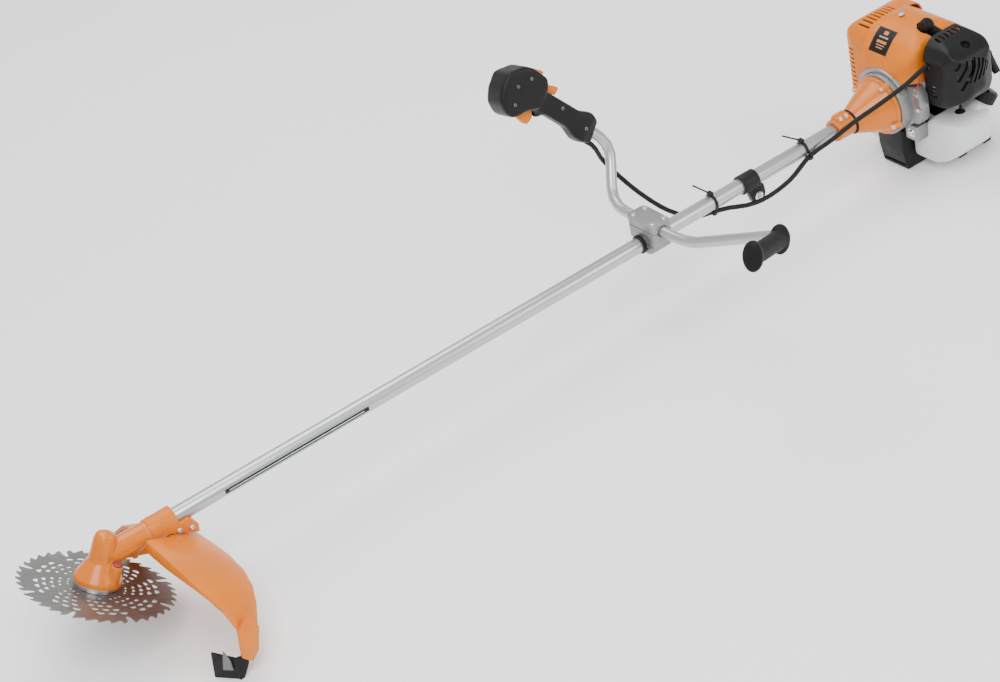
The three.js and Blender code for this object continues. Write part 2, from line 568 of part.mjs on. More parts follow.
// ---- engine ------------------------------------------------------------------------------------
function clutchHousing() {
  const outside = turned([[1426, 0], [1426, 21], [1464, 21], [1468, 24], [1534, 52], [1534, 57], [1541, 57], [1541, 0]],
    28, 'x');
  const inside = turned([[1400, 0], [1400, TUBE_R + GAP], [1464, TUBE_R + GAP], [1464, 9], [1480, 9], [1480, 15.3],
    [1508, 15.3], [1508, 38.5], [1527, 46], [1560, 46], [1560, 0]], 32, 'x');
  return cut(outside, inside);
}

function clutchDrum() {
  return turned([[1476, DRIVE_R + GAP], [1476, 8], [1511, 8], [1511, 36.5], [1534, 36.5], [1534, 34], [1514, 34],
    [1514, DRIVE_R + GAP], [1476, DRIVE_R + GAP]], 24, 'x');
}

function clutchShoes() {
  const rotor = turned([[1516, 9], [1516, 32.5], [1532, 32.5], [1532, 18], [1551, 18], [1551, 9], [1516, 9]], 24, 'x');
  return cut(rotor, block(1510, 1533, 13, 40, -2, 2), block(1510, 1533, -40, -13, -2, 2));
}

function crankcase() {
  const fanShell = turned([[1541.4, 0], [1541.4, 60.5], [1590, 60.5], [1592, 58], [1592, 0]], 32, 'x');
  const fanRoom = bar(at(1530, 0, 0), at(1586, 0, 0), 54, 32);
  const caseBlock = frontPlate(roundedRectangle(-33, 33, -38, 29.7, 10, 2), 1590, 1660);
  const tankLug = block(1566, 1591.6, -66, -36, -70, -40);
  const wing = frontPlate([[-40, -48], [-60, -30], [-76, -27], [-83, -16], [-83, 28], [-72, 44], [-40, 46]], 1564, 1586);
  const crankRoom = bar(at(1602, 0, 0), at(1646, 0, 0), 26, 24);
  const shaftRoom = bar(at(1500, 0, 0), at(1700, 0, 0), 8.3, 16);
  const pistonRoom = bar(at(CRANK_X, 0, 0), at(CRANK_X, 0, 60), BORE_R + GAP, 24);
  return cut(join(fanShell, caseBlock, tankLug, wing), fanRoom, crankRoom, shaftRoom, pistonRoom);
}

function flywheel() {
  const wheel = turned([[1552, 8.3], [1552, 24], [1556, 50], [1578, 50], [1578, 42], [1570, 20], [1582, 14], [1582, 8.3],
    [1552, 8.3]], 28, 'x');
  const gaps = Array.from({ length: 6 }, (_, i) =>
    block(1566, 1590, 44, 60, -5, 5).rotateX(i * Math.PI / 3 + 0.3));
  return cut(wheel, ...gaps);
}

function crankshaft() {
  const web = (x0, x1) => cut(bar(at(x0, 0, 0), at(x1, 0, 0), 24, 24), block(x0 - 1, x1 + 1, 9, 30, -30, -6),
    block(x0 - 1, x1 + 1, -30, -9, -30, -6));
  const pin = bar(at(1615, 0, -CRANK_THROW), at(1633, 0, -CRANK_THROW), 6, 14);
  const front = bar(at(1520, 0, 0), at(1608, 0, 0), 8, 16);
  const rear = bar(at(1640, 0, 0), at(1698, 0, 0), 8, 16);
  return join(front, web(1606, 1616), pin, web(1632, 1642), rear);
}

const WRIST_Z = ROD_LENGTH - CRANK_THROW;

function piston() {
  const body = bar(at(CRANK_X, 0, 26), at(CRANK_X, 0, WRIST_Z + 19), BORE_R - GAP, 24);
  const hollow = bar(at(CRANK_X, 0, 20), at(CRANK_X, 0, WRIST_Z + 11), 16, 20);
  const pinHole = bar(at(CRANK_X - 30, 0, WRIST_Z), at(CRANK_X + 30, 0, WRIST_Z), 4.3, 12);
  return cut(body, hollow, pinHole);
}

// The rod's big end is left open above the crank pin's circle.
function connectingRod() {
  const wristPin = bar(at(CRANK_X - 18, 0, WRIST_Z), at(CRANK_X + 18, 0, WRIST_Z), 4, 12);
  return join(wristPin, block(CRANK_X - 4, CRANK_X + 4, -7, 7, 25, WRIST_Z + 7));
}

function cylinder() {
  const profile = [[30, 0], [30, 30], [35, 30], [35, 25]];
  for (let fin = 0; fin < 6; fin += 1) {
    const z = 43 + fin * 12;
    profile.push([z, 25], [z, 31.5], [z + 3, 31.5], [z + 3, 25]);
  }
  profile.push([112, 25], [112, 0]);
  const body = turned(profile, 16, 'z').translate(CRANK_X, 0, 0);
  const bore = bar(at(CRANK_X, 0, 20), at(CRANK_X, 0, 97), BORE_R + GAP, 24);
  const plugHole = bar(PLUG_SEAT.clone().addScaledVector(PLUG_AXIS, -20), PLUG_SEAT.clone().addScaledVector(PLUG_AXIS, 60), 5.3, 12);
  return cut(body, bore, plugHole);
}

const PLUG_SEAT = at(CRANK_X, -14, 96);
const PLUG_AXIS = at(0.15, -0.6, 0.78).normalize();
const alongPlug = (s) => PLUG_SEAT.clone().addScaledVector(PLUG_AXIS, s);

function plugBoot() {
  const cap = bar(alongPlug(33), alongPlug(56), 11, 16, 13.5);
  const crown = bar(alongPlug(56), alongPlug(64), 13.5, 16, 8);
  const elbow = bar(alongPlug(52), at(1650, -61, 113), 10, 12, 8.5);
  return cut(join(cap, crown, elbow), bar(alongPlug(30), alongPlug(50), 5.2, 10));
}

const COVER_SIDE = [[1553, 20], [1553, 72], [1561, 96], [1582, 118], [1608, 135], [1634, 143], [1660, 144], [1680, 139],
  [1702, 125], [1716, 107], [1716, 20]];
const COVER_FRONT = [[-68, 20], [-68, 110], [-60, 124], [-42, 133], [-29, 143], [-16, 145], [20, 145], [32, 143],
  [44, 134], [52, 131], [52, 20]];
const COVER_TOP = [[1553, -36], [1562, -56], [1580, -68], [1700, -68], [1716, -52], [1716, 52], [1553, 52]];

function engineCover() {
  const shape = (wall) => overlap(overlap(sidePlate(inset(COVER_SIDE, wall), -100, 100),
    frontPlate(inset(COVER_FRONT, wall), 1500, 1750)), flatPlate(inset(COVER_TOP, wall), 0, 200));
  const openBottom = block(1556, 1713, -65, 49, 0, 40);
  const lowCorner = sidePlate([[1540, 0], [1540, 52], [1600, 46], [1730, 30], [1730, 0]], -90, -40);
  const fanRoom = bar(at(1540, 0, 0), at(1594, 0, 0), 60.5 + GAP, 32);
  const starterRoom = block(1690, 1730, -46, 46, 0, 38.6);
  const exhaustRoom = block(1598, 1700, 40, 60, 10, 118);
  const intakeRoom = block(1601, 1656, -80, -50, 10, 96);
  const bootRoom = bar(alongPlug(24), alongPlug(80), 15, 16);
  const leadRoom = bar(alongPlug(46), at(1654, -78, 104), 13.5, 16);
  return cut(shape(0.001), shape(COVER_WALL), openBottom, lowCorner, fanRoom, starterRoom, exhaustRoom, intakeRoom,
    bootRoom, leadRoom);
}

function muffler() {
  const box = frontPlate(roundedRectangle(60, 121, -26, 98, 12, 2), 1602, 1690);
  const port = block(1610, 1638, 34, 61, 58, 84);
  const pipe = bar(at(1680, 91, 8), at(1708, 91, 8), 10, 16);
  const pipeBore = bar(at(1600, 91, 8), at(1720, 91, 8), 7.5, 16);
  const inside = frontPlate(roundedRectangle(62, 119, -24, 96, 10, 2), 1604, 1688);
  const collar = join(box, port, pipe);
  return cut(collar, inside, overlap(pipeBore, block(1680, 1730, 0, 200, -50, 50)));
}

const MUFFLER_SIDE = [[1577, -38], [1577, 84], [1586, 106], [1604, 120], [1636, 127], [1690, 127], [1708, 119],
  [1716, 104], [1716, -40], [1708, -47], [1588, -47]];
const MUFFLER_FRONT = [[53, -47], [53, 127], [84, 125], [104, 118], [119, 106], [128, 88], [134, 44], [134, -36],
  [129, -47]];
const MUFFLER_TOP = [[1577, 53], [1577, 106], [1584, 122], [1600, 134], [1704, 134], [1716, 120], [1716, 53]];

function mufflerCover() {
  const openSide = (points, x, y) => points.map((point) => point.map((value, i) => (i === x && value === 53 ? y : value)));
  const shape = (wall, side, front, top) => overlap(overlap(sidePlate(inset(side, wall), 0, 200),
    frontPlate(inset(front, wall), 1500, 1750)), flatPlate(inset(top, wall), -100, 200));
  const outer = shape(0.001, MUFFLER_SIDE, MUFFLER_FRONT, MUFFLER_TOP);
  const inner = shape(COVER_WALL, MUFFLER_SIDE, openSide(MUFFLER_FRONT, 0, 30), openSide(MUFFLER_TOP, 1, 30));
  const outletWindow = block(1705, 1730, 68, 114, -12, 28);
  const fanRoom = bar(at(1540, 0, 0), at(1593, 0, 0), 60.5 + GAP, 32);
  return cut(outer, inner, outletWindow, fanRoom);
}

function carburettor() {
  const body = join(block(1610, 1650, -98, -72.4, 48, 84), block(1602, 1658, -76, -72.4, 54, 78));
  return cut(body, bar(at(1630, -110, 66), at(1630, -60, 66), 7, 16), bar(at(1630, -86, 40), at(1630, -86, 55.5), 8.4, 14),
    bar(at(1630, -86, 78), at(1630, -86, 90), 2.6, 10));
}

function intakePipe() {
  return cut(block(1602, 1646, -72, -34.2, 52, 80), bar(at(1630, -110, 66), at(1630, -10, 66), 7, 16));
}

const FILTER_SIDE = [[1588, 2], [1588, 100], [1597, 121], [1614, 133], [1674, 133], [1687, 120], [1689, 44], [1664, 20]];
const FILTER_FRONT = [[-76, 0], [-76, 133], [-98, 133], [-128, 124], [-153, 110], [-166, 88], [-166, 42], [-157, 24],
  [-118, 6]];
const FILTER_TOP = [[1588, -76], [1588, -130], [1600, -151], [1620, -164], [1650, -166], [1681, -154], [1689, -136],
  [1689, -76]];

// It is open towards the engine, and the cable comes in through a slot from the same side.
function airFilterCover() {
  const openSide = (points, x, y) => points.map((point) => point.map((value, i) => (i === x && value === -76 ? y : value)));
  const shape = (wall, front, top) => overlap(overlap(sidePlate(inset(FILTER_SIDE, wall), -200, 0),
    frontPlate(inset(front, wall), 1500, 1750)), flatPlate(inset(top, wall), -100, 200));
  const outer = shape(0.001, FILTER_FRONT, FILTER_TOP);
  const inner = shape(COVER_WALL, openSide(FILTER_FRONT, 0, -50), openSide(FILTER_TOP, 1, -50));
  const cableSlot = block(1580, 1600, -92.5, -60, 79, 94);
  return cut(outer, inner, cableSlot);
}

function starterCover() {
  const square = (wall) => roundedRectangle(-44 + wall, 44 - wall, STARTER_CENTRE_Z - 45 + wall, STARTER_CENTRE_Z + 45 - wall,
    16 - wall, 3);
  const body = frontPlate(square(0), 1694, 1750);
  const room = frontPlate(square(3.5), 1680, 1746);
  const post = bar(at(1702, 0, 0), at(1748, 0, 0), 6, 14);
  const neck = bar(ROPE_EXIT.clone().addScaledVector(PULL, -16), ROPE_EXIT, 9, 14);
  const ropeBore = bar(ROPE_EXIT.clone().addScaledVector(PULL, -30), ROPE_EXIT.clone().addScaledVector(PULL, 10), 3.4, 10);
  return cut(join(cut(body, room), post, neck), ropeBore);
}

function starterPulley() {
  return turned([[1704, 6.4], [1704, 34], [1708, 34], [1710, 29], [1718, 29], [1720, 34], [1724, 34], [1724, 6.4],
    [1704, 6.4]], 24, 'x');
}

function starterGrip() {
  const across = at(0, PULL.z, -PULL.y);
  const on = (s, t) => ROPE_EXIT.clone().addScaledVector(PULL, s).addScaledVector(across, t);
  const stem = bar(on(0.4, 0), on(44, 2), 7.5, 12, 11);
  const left = bar(on(48, 8), on(38, -38), 11, 12, 7);
  const right = bar(on(48, -4), on(40, 44), 11, 12, 7);
  const rope = bar(on(-14, 0), on(2, 0), 3, 8);
  return join(stem, left, right, rope);
}

const TANK_OUTLINE = [[-151, -66], [-150, -50], [-143, -38], [-128, -31], [-70, -33], [-58, -44], [-50, -72], [44, -72],
  [60, -54], [108, -54], [120, -62], [124, -76], [122, -94], [112, -114], [92, -127], [-96, -128], [-124, -119],
  [-142, -102], [-149, -86]];
const TANK_TOP = [[1592, -112], [1596, -130], [1608, -144], [1626, -151], [1658, -151], [1682, -139], [1698, -116],
  [1704, -84], [1704, 108], [1696, 124], [1602, 124], [1592, 110]];

const alongFiller = (s) => FILLER_BASE.clone().addScaledVector(FILLER_AXIS, s);

function fuelTank() {
  const shape = (wall) => overlap(frontPlate(inset(TANK_OUTLINE, wall), 1500, 1800),
    flatPlate(inset(TANK_TOP, wall), -200, 0));
  const standRoom = (wall) => block(1560, 1640.5 + wall, -21 - wall, 47 + wall, -140, -50);
  const boxRoom = (wall) => block(1661.5 - wall, 1760, -69 - wall, 39 + wall, -140, -30);
  const slantedCorner = (s) => bar(alongFiller(s), alongFiller(70), 44 + s, 24);
  const neck = bar(alongFiller(0), alongFiller(24), 17, 18);
  const outside = join(cut(shape(0.001), standRoom(0), boxRoom(0), slantedCorner(11)), neck);
  const inside = cut(shape(2.5), standRoom(2.5), boxRoom(2.5), slantedCorner(8.5));
  return cut(outside, inside, bar(alongFiller(-12), alongFiller(40), 14, 16));
}

const tankCap = () =>
  cut(bar(alongFiller(12), alongFiller(36), 22, 20), bar(alongFiller(0), alongFiller(25), 17.5, 18));

function batteryBox() {
  const side = [[1662, GROUND_Z], [1662, -60], [1668, -54], [1738, -54], [1744, -62], [1744, GROUND_Z], [1726, GROUND_Z],
    [1722, GROUND_Z + 6], [1684, GROUND_Z + 6], [1680, GROUND_Z]];
  const buttonRoom = bar(at(1736, -56, -80), at(1750, -56, -80), 6.2, 14);
  const plugSlot = block(1738, 1750, -66, -60, -134, -106);
  return cut(sidePlate(side, -68, 38), buttonRoom, plugSlot);
}

function engineStand() {
  const side = [[1568, -64], [1640, -64], [1640, GROUND_Z], [1576, GROUND_Z], [1568, -110]];
  return cut(sidePlate(side, -20, 46), block(1574, 1634, -14, 40, -146, -50));
}

function buildDriveEnd(machine) {
  add(machine, 'clutch_housing', clutchHousing(), orangePaint);
  add(machine, 'clutch_drum', clutchDrum(), darkSteel);
  add(machine, 'clutch_shoes', clutchShoes(), darkSteel);
  add(machine, 'crankcase', crankcase(), castGrey);
  add(machine, 'flywheel', flywheel(), castGrey);
  add(machine, 'crankshaft', crankshaft(), darkSteel);
  add(machine, 'piston', piston(), castGrey);
  add(machine, 'connecting_rod', connectingRod(), darkSteel);
  add(machine, 'cylinder', cylinder(), castGrey);
}

function buildTopEnd(machine) {
  add(machine, 'spark_plug', join(bar(alongPlug(6), alongPlug(30), 5, 10), bar(alongPlug(29), alongPlug(48), 4.6, 10)), steel);
  add(machine, 'plug_boot', plugBoot(), rubber);
  add(machine, 'engine_cover', engineCover(), orange);
  add(machine, 'muffler', muffler(), darkSteel);
  add(machine, 'muffler_cover', mufflerCover(), orange);
  add(machine, 'intake_pipe', intakePipe(), black);
  add(machine, 'carburettor', carburettor(), castGrey);
  add(machine, 'carb_throttle_lever', join(bar(at(1630, -86, 78.4), at(1630, -86, 89), 2.3, 10),
    block(1612, 1634, -90, -82, 86.4, 89)), steel);
  const chokePivot = at(1651, -86, 60);
  add(machine, 'choke_lever', join(bar(at(1650.4, -86, 60), at(1656, -86, 60), 5, 12),
    block(1652, 1656, chokePivot.y - 3.5, chokePivot.y + 3.5, 42, 60), bar(at(1652, -86, 42), at(1662, -86, 42), 5, 10)), blue);
  add(machine, 'primer_bulb', bar(at(1630, -86, 49.5), at(1630, -86, 38), 8, 12, 5), black);
  add(machine, 'air_filter_element', block(1602, 1672, -120, -104, 42, 112), filterFoam);
  add(machine, 'air_filter_cover', airFilterCover(), black);
}

function buildServiceEnd(machine) {
  add(machine, 'starter_cover', starterCover(), black);
  add(machine, 'starter_pulley', starterPulley(), black);
  add(machine, 'starter_grip', starterGrip(), black);
  add(machine, 'fuel_tank', fuelTank(), tankWhite);
  add(machine, 'tank_cap', tankCap(), black);
  add(machine, 'battery_box', batteryBox(), black);
  add(machine, 'start_button', bar(at(1738.5, -56, -80), at(1747, -56, -80), 5.7, 14), rose);
  add(machine, 'engine_stand', engineStand(), black);
}

const machine = new THREE.Group();
machine.position.set(-STAND_X, 0, -GROUND_Z);
buildHead(machine);
buildShaft(machine);
buildHandles(machine);
buildDriveEnd(machine);
buildTopEnd(machine);
buildServiceEnd(machine);

const brushCutter = new THREE.Group();
brushCutter.add(machine);
export default brushCutter;
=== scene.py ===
import json
import math
import bmesh
import bpy
from mathutils import Matrix, Vector
from mathutils.bvhtree import BVHTree


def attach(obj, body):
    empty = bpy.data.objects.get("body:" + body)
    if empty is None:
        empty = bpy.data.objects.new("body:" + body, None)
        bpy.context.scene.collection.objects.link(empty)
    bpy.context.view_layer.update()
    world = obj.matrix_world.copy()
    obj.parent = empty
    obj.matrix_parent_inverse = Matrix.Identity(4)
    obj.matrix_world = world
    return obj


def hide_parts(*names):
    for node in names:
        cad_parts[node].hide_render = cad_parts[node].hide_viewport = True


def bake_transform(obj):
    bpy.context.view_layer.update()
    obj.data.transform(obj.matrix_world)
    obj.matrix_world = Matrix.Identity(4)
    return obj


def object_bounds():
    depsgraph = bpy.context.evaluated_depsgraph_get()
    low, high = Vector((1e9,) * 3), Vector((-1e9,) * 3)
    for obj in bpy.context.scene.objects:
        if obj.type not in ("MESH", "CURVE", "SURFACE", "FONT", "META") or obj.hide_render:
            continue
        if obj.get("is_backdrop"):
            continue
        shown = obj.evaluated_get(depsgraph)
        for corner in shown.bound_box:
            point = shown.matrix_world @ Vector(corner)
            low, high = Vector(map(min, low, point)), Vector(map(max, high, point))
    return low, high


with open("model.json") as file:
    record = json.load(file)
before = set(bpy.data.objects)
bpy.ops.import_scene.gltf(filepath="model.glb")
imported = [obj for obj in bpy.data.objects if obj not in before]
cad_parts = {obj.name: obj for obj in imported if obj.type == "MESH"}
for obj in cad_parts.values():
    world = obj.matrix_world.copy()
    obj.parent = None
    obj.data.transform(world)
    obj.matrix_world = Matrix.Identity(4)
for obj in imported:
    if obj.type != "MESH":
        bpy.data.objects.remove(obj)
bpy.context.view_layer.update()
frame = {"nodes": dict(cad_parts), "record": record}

SCENE = bpy.context.scene
NODES = frame["nodes"]
RECORD = frame["record"]
BODY_OF = {n: body for body, nodes in RECORD["behaviour"]["bodies"].items() for n in nodes}
SLOT_OF = {part["node"]: part["material_slot"] for part in RECORD["subparts"]}

# Directions: the user stands behind the machine and looks along FORWARDS.
BACKWARDS = (1, 0, 0)
FORWARDS = (-1, 0, 0)
LEFT = (0, -1, 0)
UP = (0, 0, 1)


# ---------------------------------------------------------------- frames
# The shaft frame, in millimetres: x = 0 where the bare tube leaves the guard's collar, and y = z = 0
# on the tube's axis. ENGINE_X is the place along it that stands over the scene's own origin.
ENGINE_X = 1604
AXIS_HEIGHT = 153


def at(x, y, z):
    return Vector(((x - ENGINE_X) / 1000, y / 1000, (z + AXIS_HEIGHT) / 1000))


HEAD_TILT = math.radians(28.2)
BLADE_X, BLADE_Z = -155, -42


def in_head(u, v, h):
    """The cutting head's frame: u back along the blade, v across, h above the blade."""
    c, s = math.cos(HEAD_TILT), math.sin(HEAD_TILT)
    return at(BLADE_X + u * c + h * s, v, BLADE_Z - u * s + h * c)


def head_direction(u, v, h):
    return in_head(u, v, h) - in_head(0, 0, 0)


HEAD_UP = head_direction(0, 0, 1)
GRIP_BASE = Vector((1013.4, 161.6, 150.5))
GRIP_Z = Vector((-0.628, 0.17, 0.7594)).normalized()
GRIP_X = (Vector((-1, 0, 0)) + GRIP_Z * GRIP_Z.x).normalized()
GRIP_Y = GRIP_Z.cross(GRIP_X)


def in_grip(x, y, z):
    """The throttle grip's frame: x forwards, y across its two halves, z up along it."""
    return at(*(GRIP_BASE + GRIP_X * x + GRIP_Y * y + GRIP_Z * z))


GRIP_ACROSS = in_grip(0, 1, 0) - in_grip(0, 0, 0)


# ---------------------------------------------------------------- camera, floor and light
def look(location, right, down, forward):
    columns = [Vector(right), -Vector(down), -Vector(forward)]
    turn = Matrix([[c[i] for c in columns] for i in range(3)]).to_4x4()
    return Matrix.Translation(location) @ turn


camera = bpy.data.objects.new("camera", bpy.data.cameras.new("camera"))
SCENE.collection.objects.link(camera)
camera.data.lens = 88.84
camera.data.clip_end = 60
camera.matrix_world = look(at(-1036.2, -3027.7, 2330.1), (0.78952, -0.58485, -0.18606),
                           (-0.46333, -0.36918, -0.80562), (0.40248, 0.72226, -0.56245))
SCENE.camera = camera


def area_light(name, place, target, size, power):
    light = bpy.data.lights.new(name, "AREA")
    light.shape = "DISK"
    light.size = size
    light.energy = power
    lamp = bpy.data.objects.new(name, light)
    lamp.location = place
    lamp.rotation_euler = (Vector(target) - Vector(place)).to_track_quat("-Z", "Y").to_euler()
    SCENE.collection.objects.link(lamp)


area_light("key", (-2.6, -2.2, 3.4), (-0.6, 0, 0.1), 2.6, 150)
area_light("fill", (1.6, -3.2, 2.2), (-0.5, 0, 0.1), 2.6, 75)
area_light("top", (-0.6, 1.4, 3.6), (-0.6, 0, 0.1), 3.0, 110)
world = bpy.data.worlds.new("studio")
SCENE.world = world
world.use_nodes = True
world.node_tree.nodes["Background"].inputs["Color"].default_value = (1, 1, 1, 1)
world.node_tree.nodes["Background"].inputs["Strength"].default_value = 0.95


# ---------------------------------------------------------------- materials
def noise(tree, place, scale, detail):
    texture = tree.nodes.new("ShaderNodeTexNoise")
    texture.inputs["Scale"].default_value = scale
    texture.inputs["Detail"].default_value = detail
    tree.links.new(place, texture.inputs["Vector"])
    return texture.outputs["Fac"]


def spread(tree, source, source_range, low, high):
    """A value brought from one range to another."""
    node = tree.nodes.new("ShaderNodeMapRange")
    node.inputs["From Min"].default_value, node.inputs["From Max"].default_value = source_range
    node.inputs["To Min"].default_value = low
    node.inputs["To Max"].default_value = high
    tree.links.new(source, node.inputs["Value"])
    return node.outputs["Result"]


def mixed(tree, factor, first, second):
    mix = tree.nodes.new("ShaderNodeMix")
    mix.data_type = "RGBA"
    tree.links.new(factor, mix.inputs["Factor"])
    for socket, value in ((mix.inputs["A"], first), (mix.inputs["B"], second)):
        if isinstance(value, bpy.types.NodeSocket):
            tree.links.new(value, socket)
        else:
            socket.default_value = value
    return mix.outputs["Result"]


def paler(colour, factor, lift=0.0):
    return tuple(min(1, c * factor + lift) for c in colour) + (1,)


NOISE_RANGE = (0.3, 0.7)
EDGE_RANGE = (0.53, 0.62)
GLOSS_SPREAD = 0.08


def shader(name, colour, roughness, metallic=0.0, tone=0.06, tone_scale=40, grain=0.0, grain_scale=900,
           wear=0.0, coat=0.0, stretch=(1, 1, 1), transmission=0.0, subsurface=0.0, specular=0.5):
    """A surface with slow changes of tone, fine grain, a varying gloss and paler worn edges."""
    material = bpy.data.materials.new(name)
    material.use_nodes = True
    tree = material.node_tree
    principled = tree.nodes["Principled BSDF"]
    values = {"Metallic": metallic, "Coat Weight": coat, "Coat Roughness": 0.12,
              "Specular IOR Level": specular, "Transmission Weight": transmission}
    if subsurface:
        values.update({"Subsurface Weight": subsurface, "Subsurface Scale": 0.01})
    for key, value in values.items():
        principled.inputs[key].default_value = value
    mapping = tree.nodes.new("ShaderNodeMapping")
    mapping.inputs["Scale"].default_value = stretch
    tree.links.new(tree.nodes.new("ShaderNodeTexCoord").outputs["Object"], mapping.inputs["Vector"])
    place = mapping.outputs["Vector"]

    slow = spread(tree, noise(tree, place, tone_scale, 3), NOISE_RANGE, 0, 1)
    surface = mixed(tree, slow, paler(colour, 1 - tone), paler(colour, 1 + tone))
    if wear:
        geometry = tree.nodes.new("ShaderNodeNewGeometry")
        edge = spread(tree, geometry.outputs["Pointiness"], EDGE_RANGE, 0, wear)
        surface = mixed(tree, edge, surface, paler(colour, 1.5, 0.08))
    tree.links.new(surface, principled.inputs["Base Color"])
    gloss = spread(tree, noise(tree, place, tone_scale * 2.3, 4), NOISE_RANGE,
                   roughness * (1 - GLOSS_SPREAD), roughness * (1 + GLOSS_SPREAD))
    tree.links.new(gloss, principled.inputs["Roughness"])
    if grain:
        bump = tree.nodes.new("ShaderNodeBump")
        bump.inputs["Strength"].default_value = grain
        bump.inputs["Distance"].default_value = 0.0004
        tree.links.new(noise(tree, place, grain_scale, 2), bump.inputs["Height"])
        tree.links.new(bump.outputs["Normal"], principled.inputs["Normal"])
    return material


ORANGE = (0.60, 0.145, 0.0)
SURFACES = {
    "orange_plastic": dict(colour=ORANGE, roughness=0.36, tone=0.05, grain=0.15, wear=0.2, specular=0.25),
    "orange_paint": dict(colour=ORANGE, roughness=0.24, tone=0.05, tone_scale=60, grain=0.25, grain_scale=260,
                         wear=0.2, coat=0.2, specular=0.25),
    "black_plastic": dict(colour=(0.004, 0.004, 0.0045), roughness=0.42, tone=0.18, grain=0.5,
                          grain_scale=1300, wear=0.1, specular=0.22),
    "rubber": dict(colour=(0.004, 0.004, 0.004), roughness=0.55, tone=0.2, grain=0.6, grain_scale=1000,
                   wear=0.1, specular=0.18),
    "cast_grey": dict(colour=(0.24, 0.24, 0.245), roughness=0.42, metallic=0.75, tone=0.1, grain=0.8,
                      grain_scale=700, wear=0.3),
    "bright_steel": dict(colour=(0.62, 0.62, 0.63), roughness=0.24, metallic=1, tone=0.06, grain=0.2,
                         stretch=(1, 1, 12), wear=0.2),
    "dark_steel": dict(colour=(0.16, 0.16, 0.17), roughness=0.38, metallic=0.9, tone=0.15, grain=0.4),
    "saw_steel": dict(colour=(0.22, 0.215, 0.21), roughness=0.33, metallic=0.9, tone=0.12, tone_scale=25,
                      grain=0.35, grain_scale=300, stretch=(1, 6, 1), wear=0.3),
    "satin_tube": dict(colour=(0.46, 0.465, 0.47), roughness=0.33, metallic=0.85, tone=0.03, tone_scale=14,
                       grain=0.25, grain_scale=500, stretch=(0.06, 1, 1)),
    "tank_plastic": dict(colour=(0.66, 0.68, 0.69), roughness=0.38, tone=0.02, grain=0.2, grain_scale=500,
                         transmission=0.05, subsurface=0.4),
    "blue_plastic": dict(colour=(0.012, 0.016, 0.26), roughness=0.35, grain=0.2),
    "red_plug": dict(colour=(0.20, 0.012, 0.008), roughness=0.45, tone=0.1, grain=0.4, grain_scale=600,
                     wear=0.3),
    "filter_foam": dict(colour=(0.035, 0.04, 0.03), roughness=0.9, tone=0.35, tone_scale=900, grain=1.0,
                        grain_scale=1100),
    "rose_plastic": dict(colour=(0.62, 0.20, 0.24), roughness=0.35, grain=0.2),
}
MATERIALS = {name: shader(name, **surface) for name, surface in SURFACES.items()}

FLOOR_HALF = 30
FLOOR_Z = -0.0006
floor_mesh = bpy.data.meshes.new("floor")
corners = [(x * FLOOR_HALF, y * FLOOR_HALF, FLOOR_Z) for x, y in ((-1, -1), (1, -1), (1, 1), (-1, 1))]
floor_mesh.from_pydata(corners, [], [(0, 1, 2, 3)])
floor = bpy.data.objects.new("floor", floor_mesh)
SCENE.collection.objects.link(floor)
floor_mesh.materials.append(shader("floor", (0.94, 0.94, 0.94), 0.7, tone=0.004, tone_scale=2))
floor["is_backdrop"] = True


# ---------------------------------------------------------------- mesh tools
def new_piece(name, mesh, material, body="machine"):
    piece = bpy.data.objects.new(name, mesh)
    SCENE.collection.objects.link(piece)
    mesh.materials.clear()
    mesh.materials.append(MATERIALS[material])
    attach(piece, body)
    return piece


def loose(mesh):
    piece = bpy.data.objects.new("loose", mesh)
    SCENE.collection.objects.link(piece)
    return piece


def baked(piece):
    """The mesh of an object with its modifiers applied."""
    bpy.context.view_layer.update()
    return bpy.data.meshes.new_from_object(piece.evaluated_get(bpy.context.evaluated_depsgraph_get()))


def combine(mesh, others, operation):
    for other in others:
        first, second = loose(mesh), loose(other)
        change = first.modifiers.new("combine", "BOOLEAN")
        change.operation = operation
        change.solver = "MANIFOLD"
        change.object = second
        mesh = baked(first)
        bpy.data.objects.remove(first)
        bpy.data.objects.remove(second)
    return mesh


def cut(mesh, *others):
    return combine(mesh, others, "DIFFERENCE")


def shared(mesh, *others):
    return combine(mesh, others, "INTERSECT")


def joined(mesh, *others):
    return combine(mesh, others, "UNION")


def gathered(meshes):
    """Several separate closed bodies as one mesh."""
    bm = bmesh.new()
    for mesh in meshes:
        bm.from_mesh(mesh)
    whole = bpy.data.meshes.new("gathered")
    bm.to_mesh(whole)
    bm.free()
    return whole


def changed(mesh, kind, **settings):
    holder = loose(mesh)
    change = holder.modifiers.new("change", kind)
    for key, value in settings.items():
        setattr(change, key, value)
    result = baked(holder)
    bpy.data.objects.remove(holder)
    return result


def melted(mesh, voxel, rounds, keep):
    """The same body with all its edges flowing into each other, as a thick moulding has."""
    mesh = changed(mesh, "REMESH", mode="VOXEL", voxel_size=voxel / 1000)
    mesh = changed(mesh, "SMOOTH", factor=0.5, iterations=rounds)
    return changed(mesh, "DECIMATE", ratio=keep)


SHARP_ANGLE = 35


def shrunk(mesh, wall):
    return changed(mesh, "DISPLACE", strength=-wall / 1000, mid_level=0)


def bevelled(mesh, width, segments):
    return changed(mesh, "BEVEL", width=width / 1000, segments=segments, limit_method="ANGLE",
                   angle_limit=math.radians(SHARP_ANGLE))


def smooth(mesh, angle=SHARP_ANGLE):
    mesh.shade_smooth()
    mesh.set_sharp_from_angle(angle=math.radians(angle))
    return mesh


def finished(bm):
    bmesh.ops.recalc_face_normals(bm, faces=bm.faces)
    mesh = bpy.data.meshes.new("body")
    bm.to_mesh(mesh)
    bm.free()
    return mesh


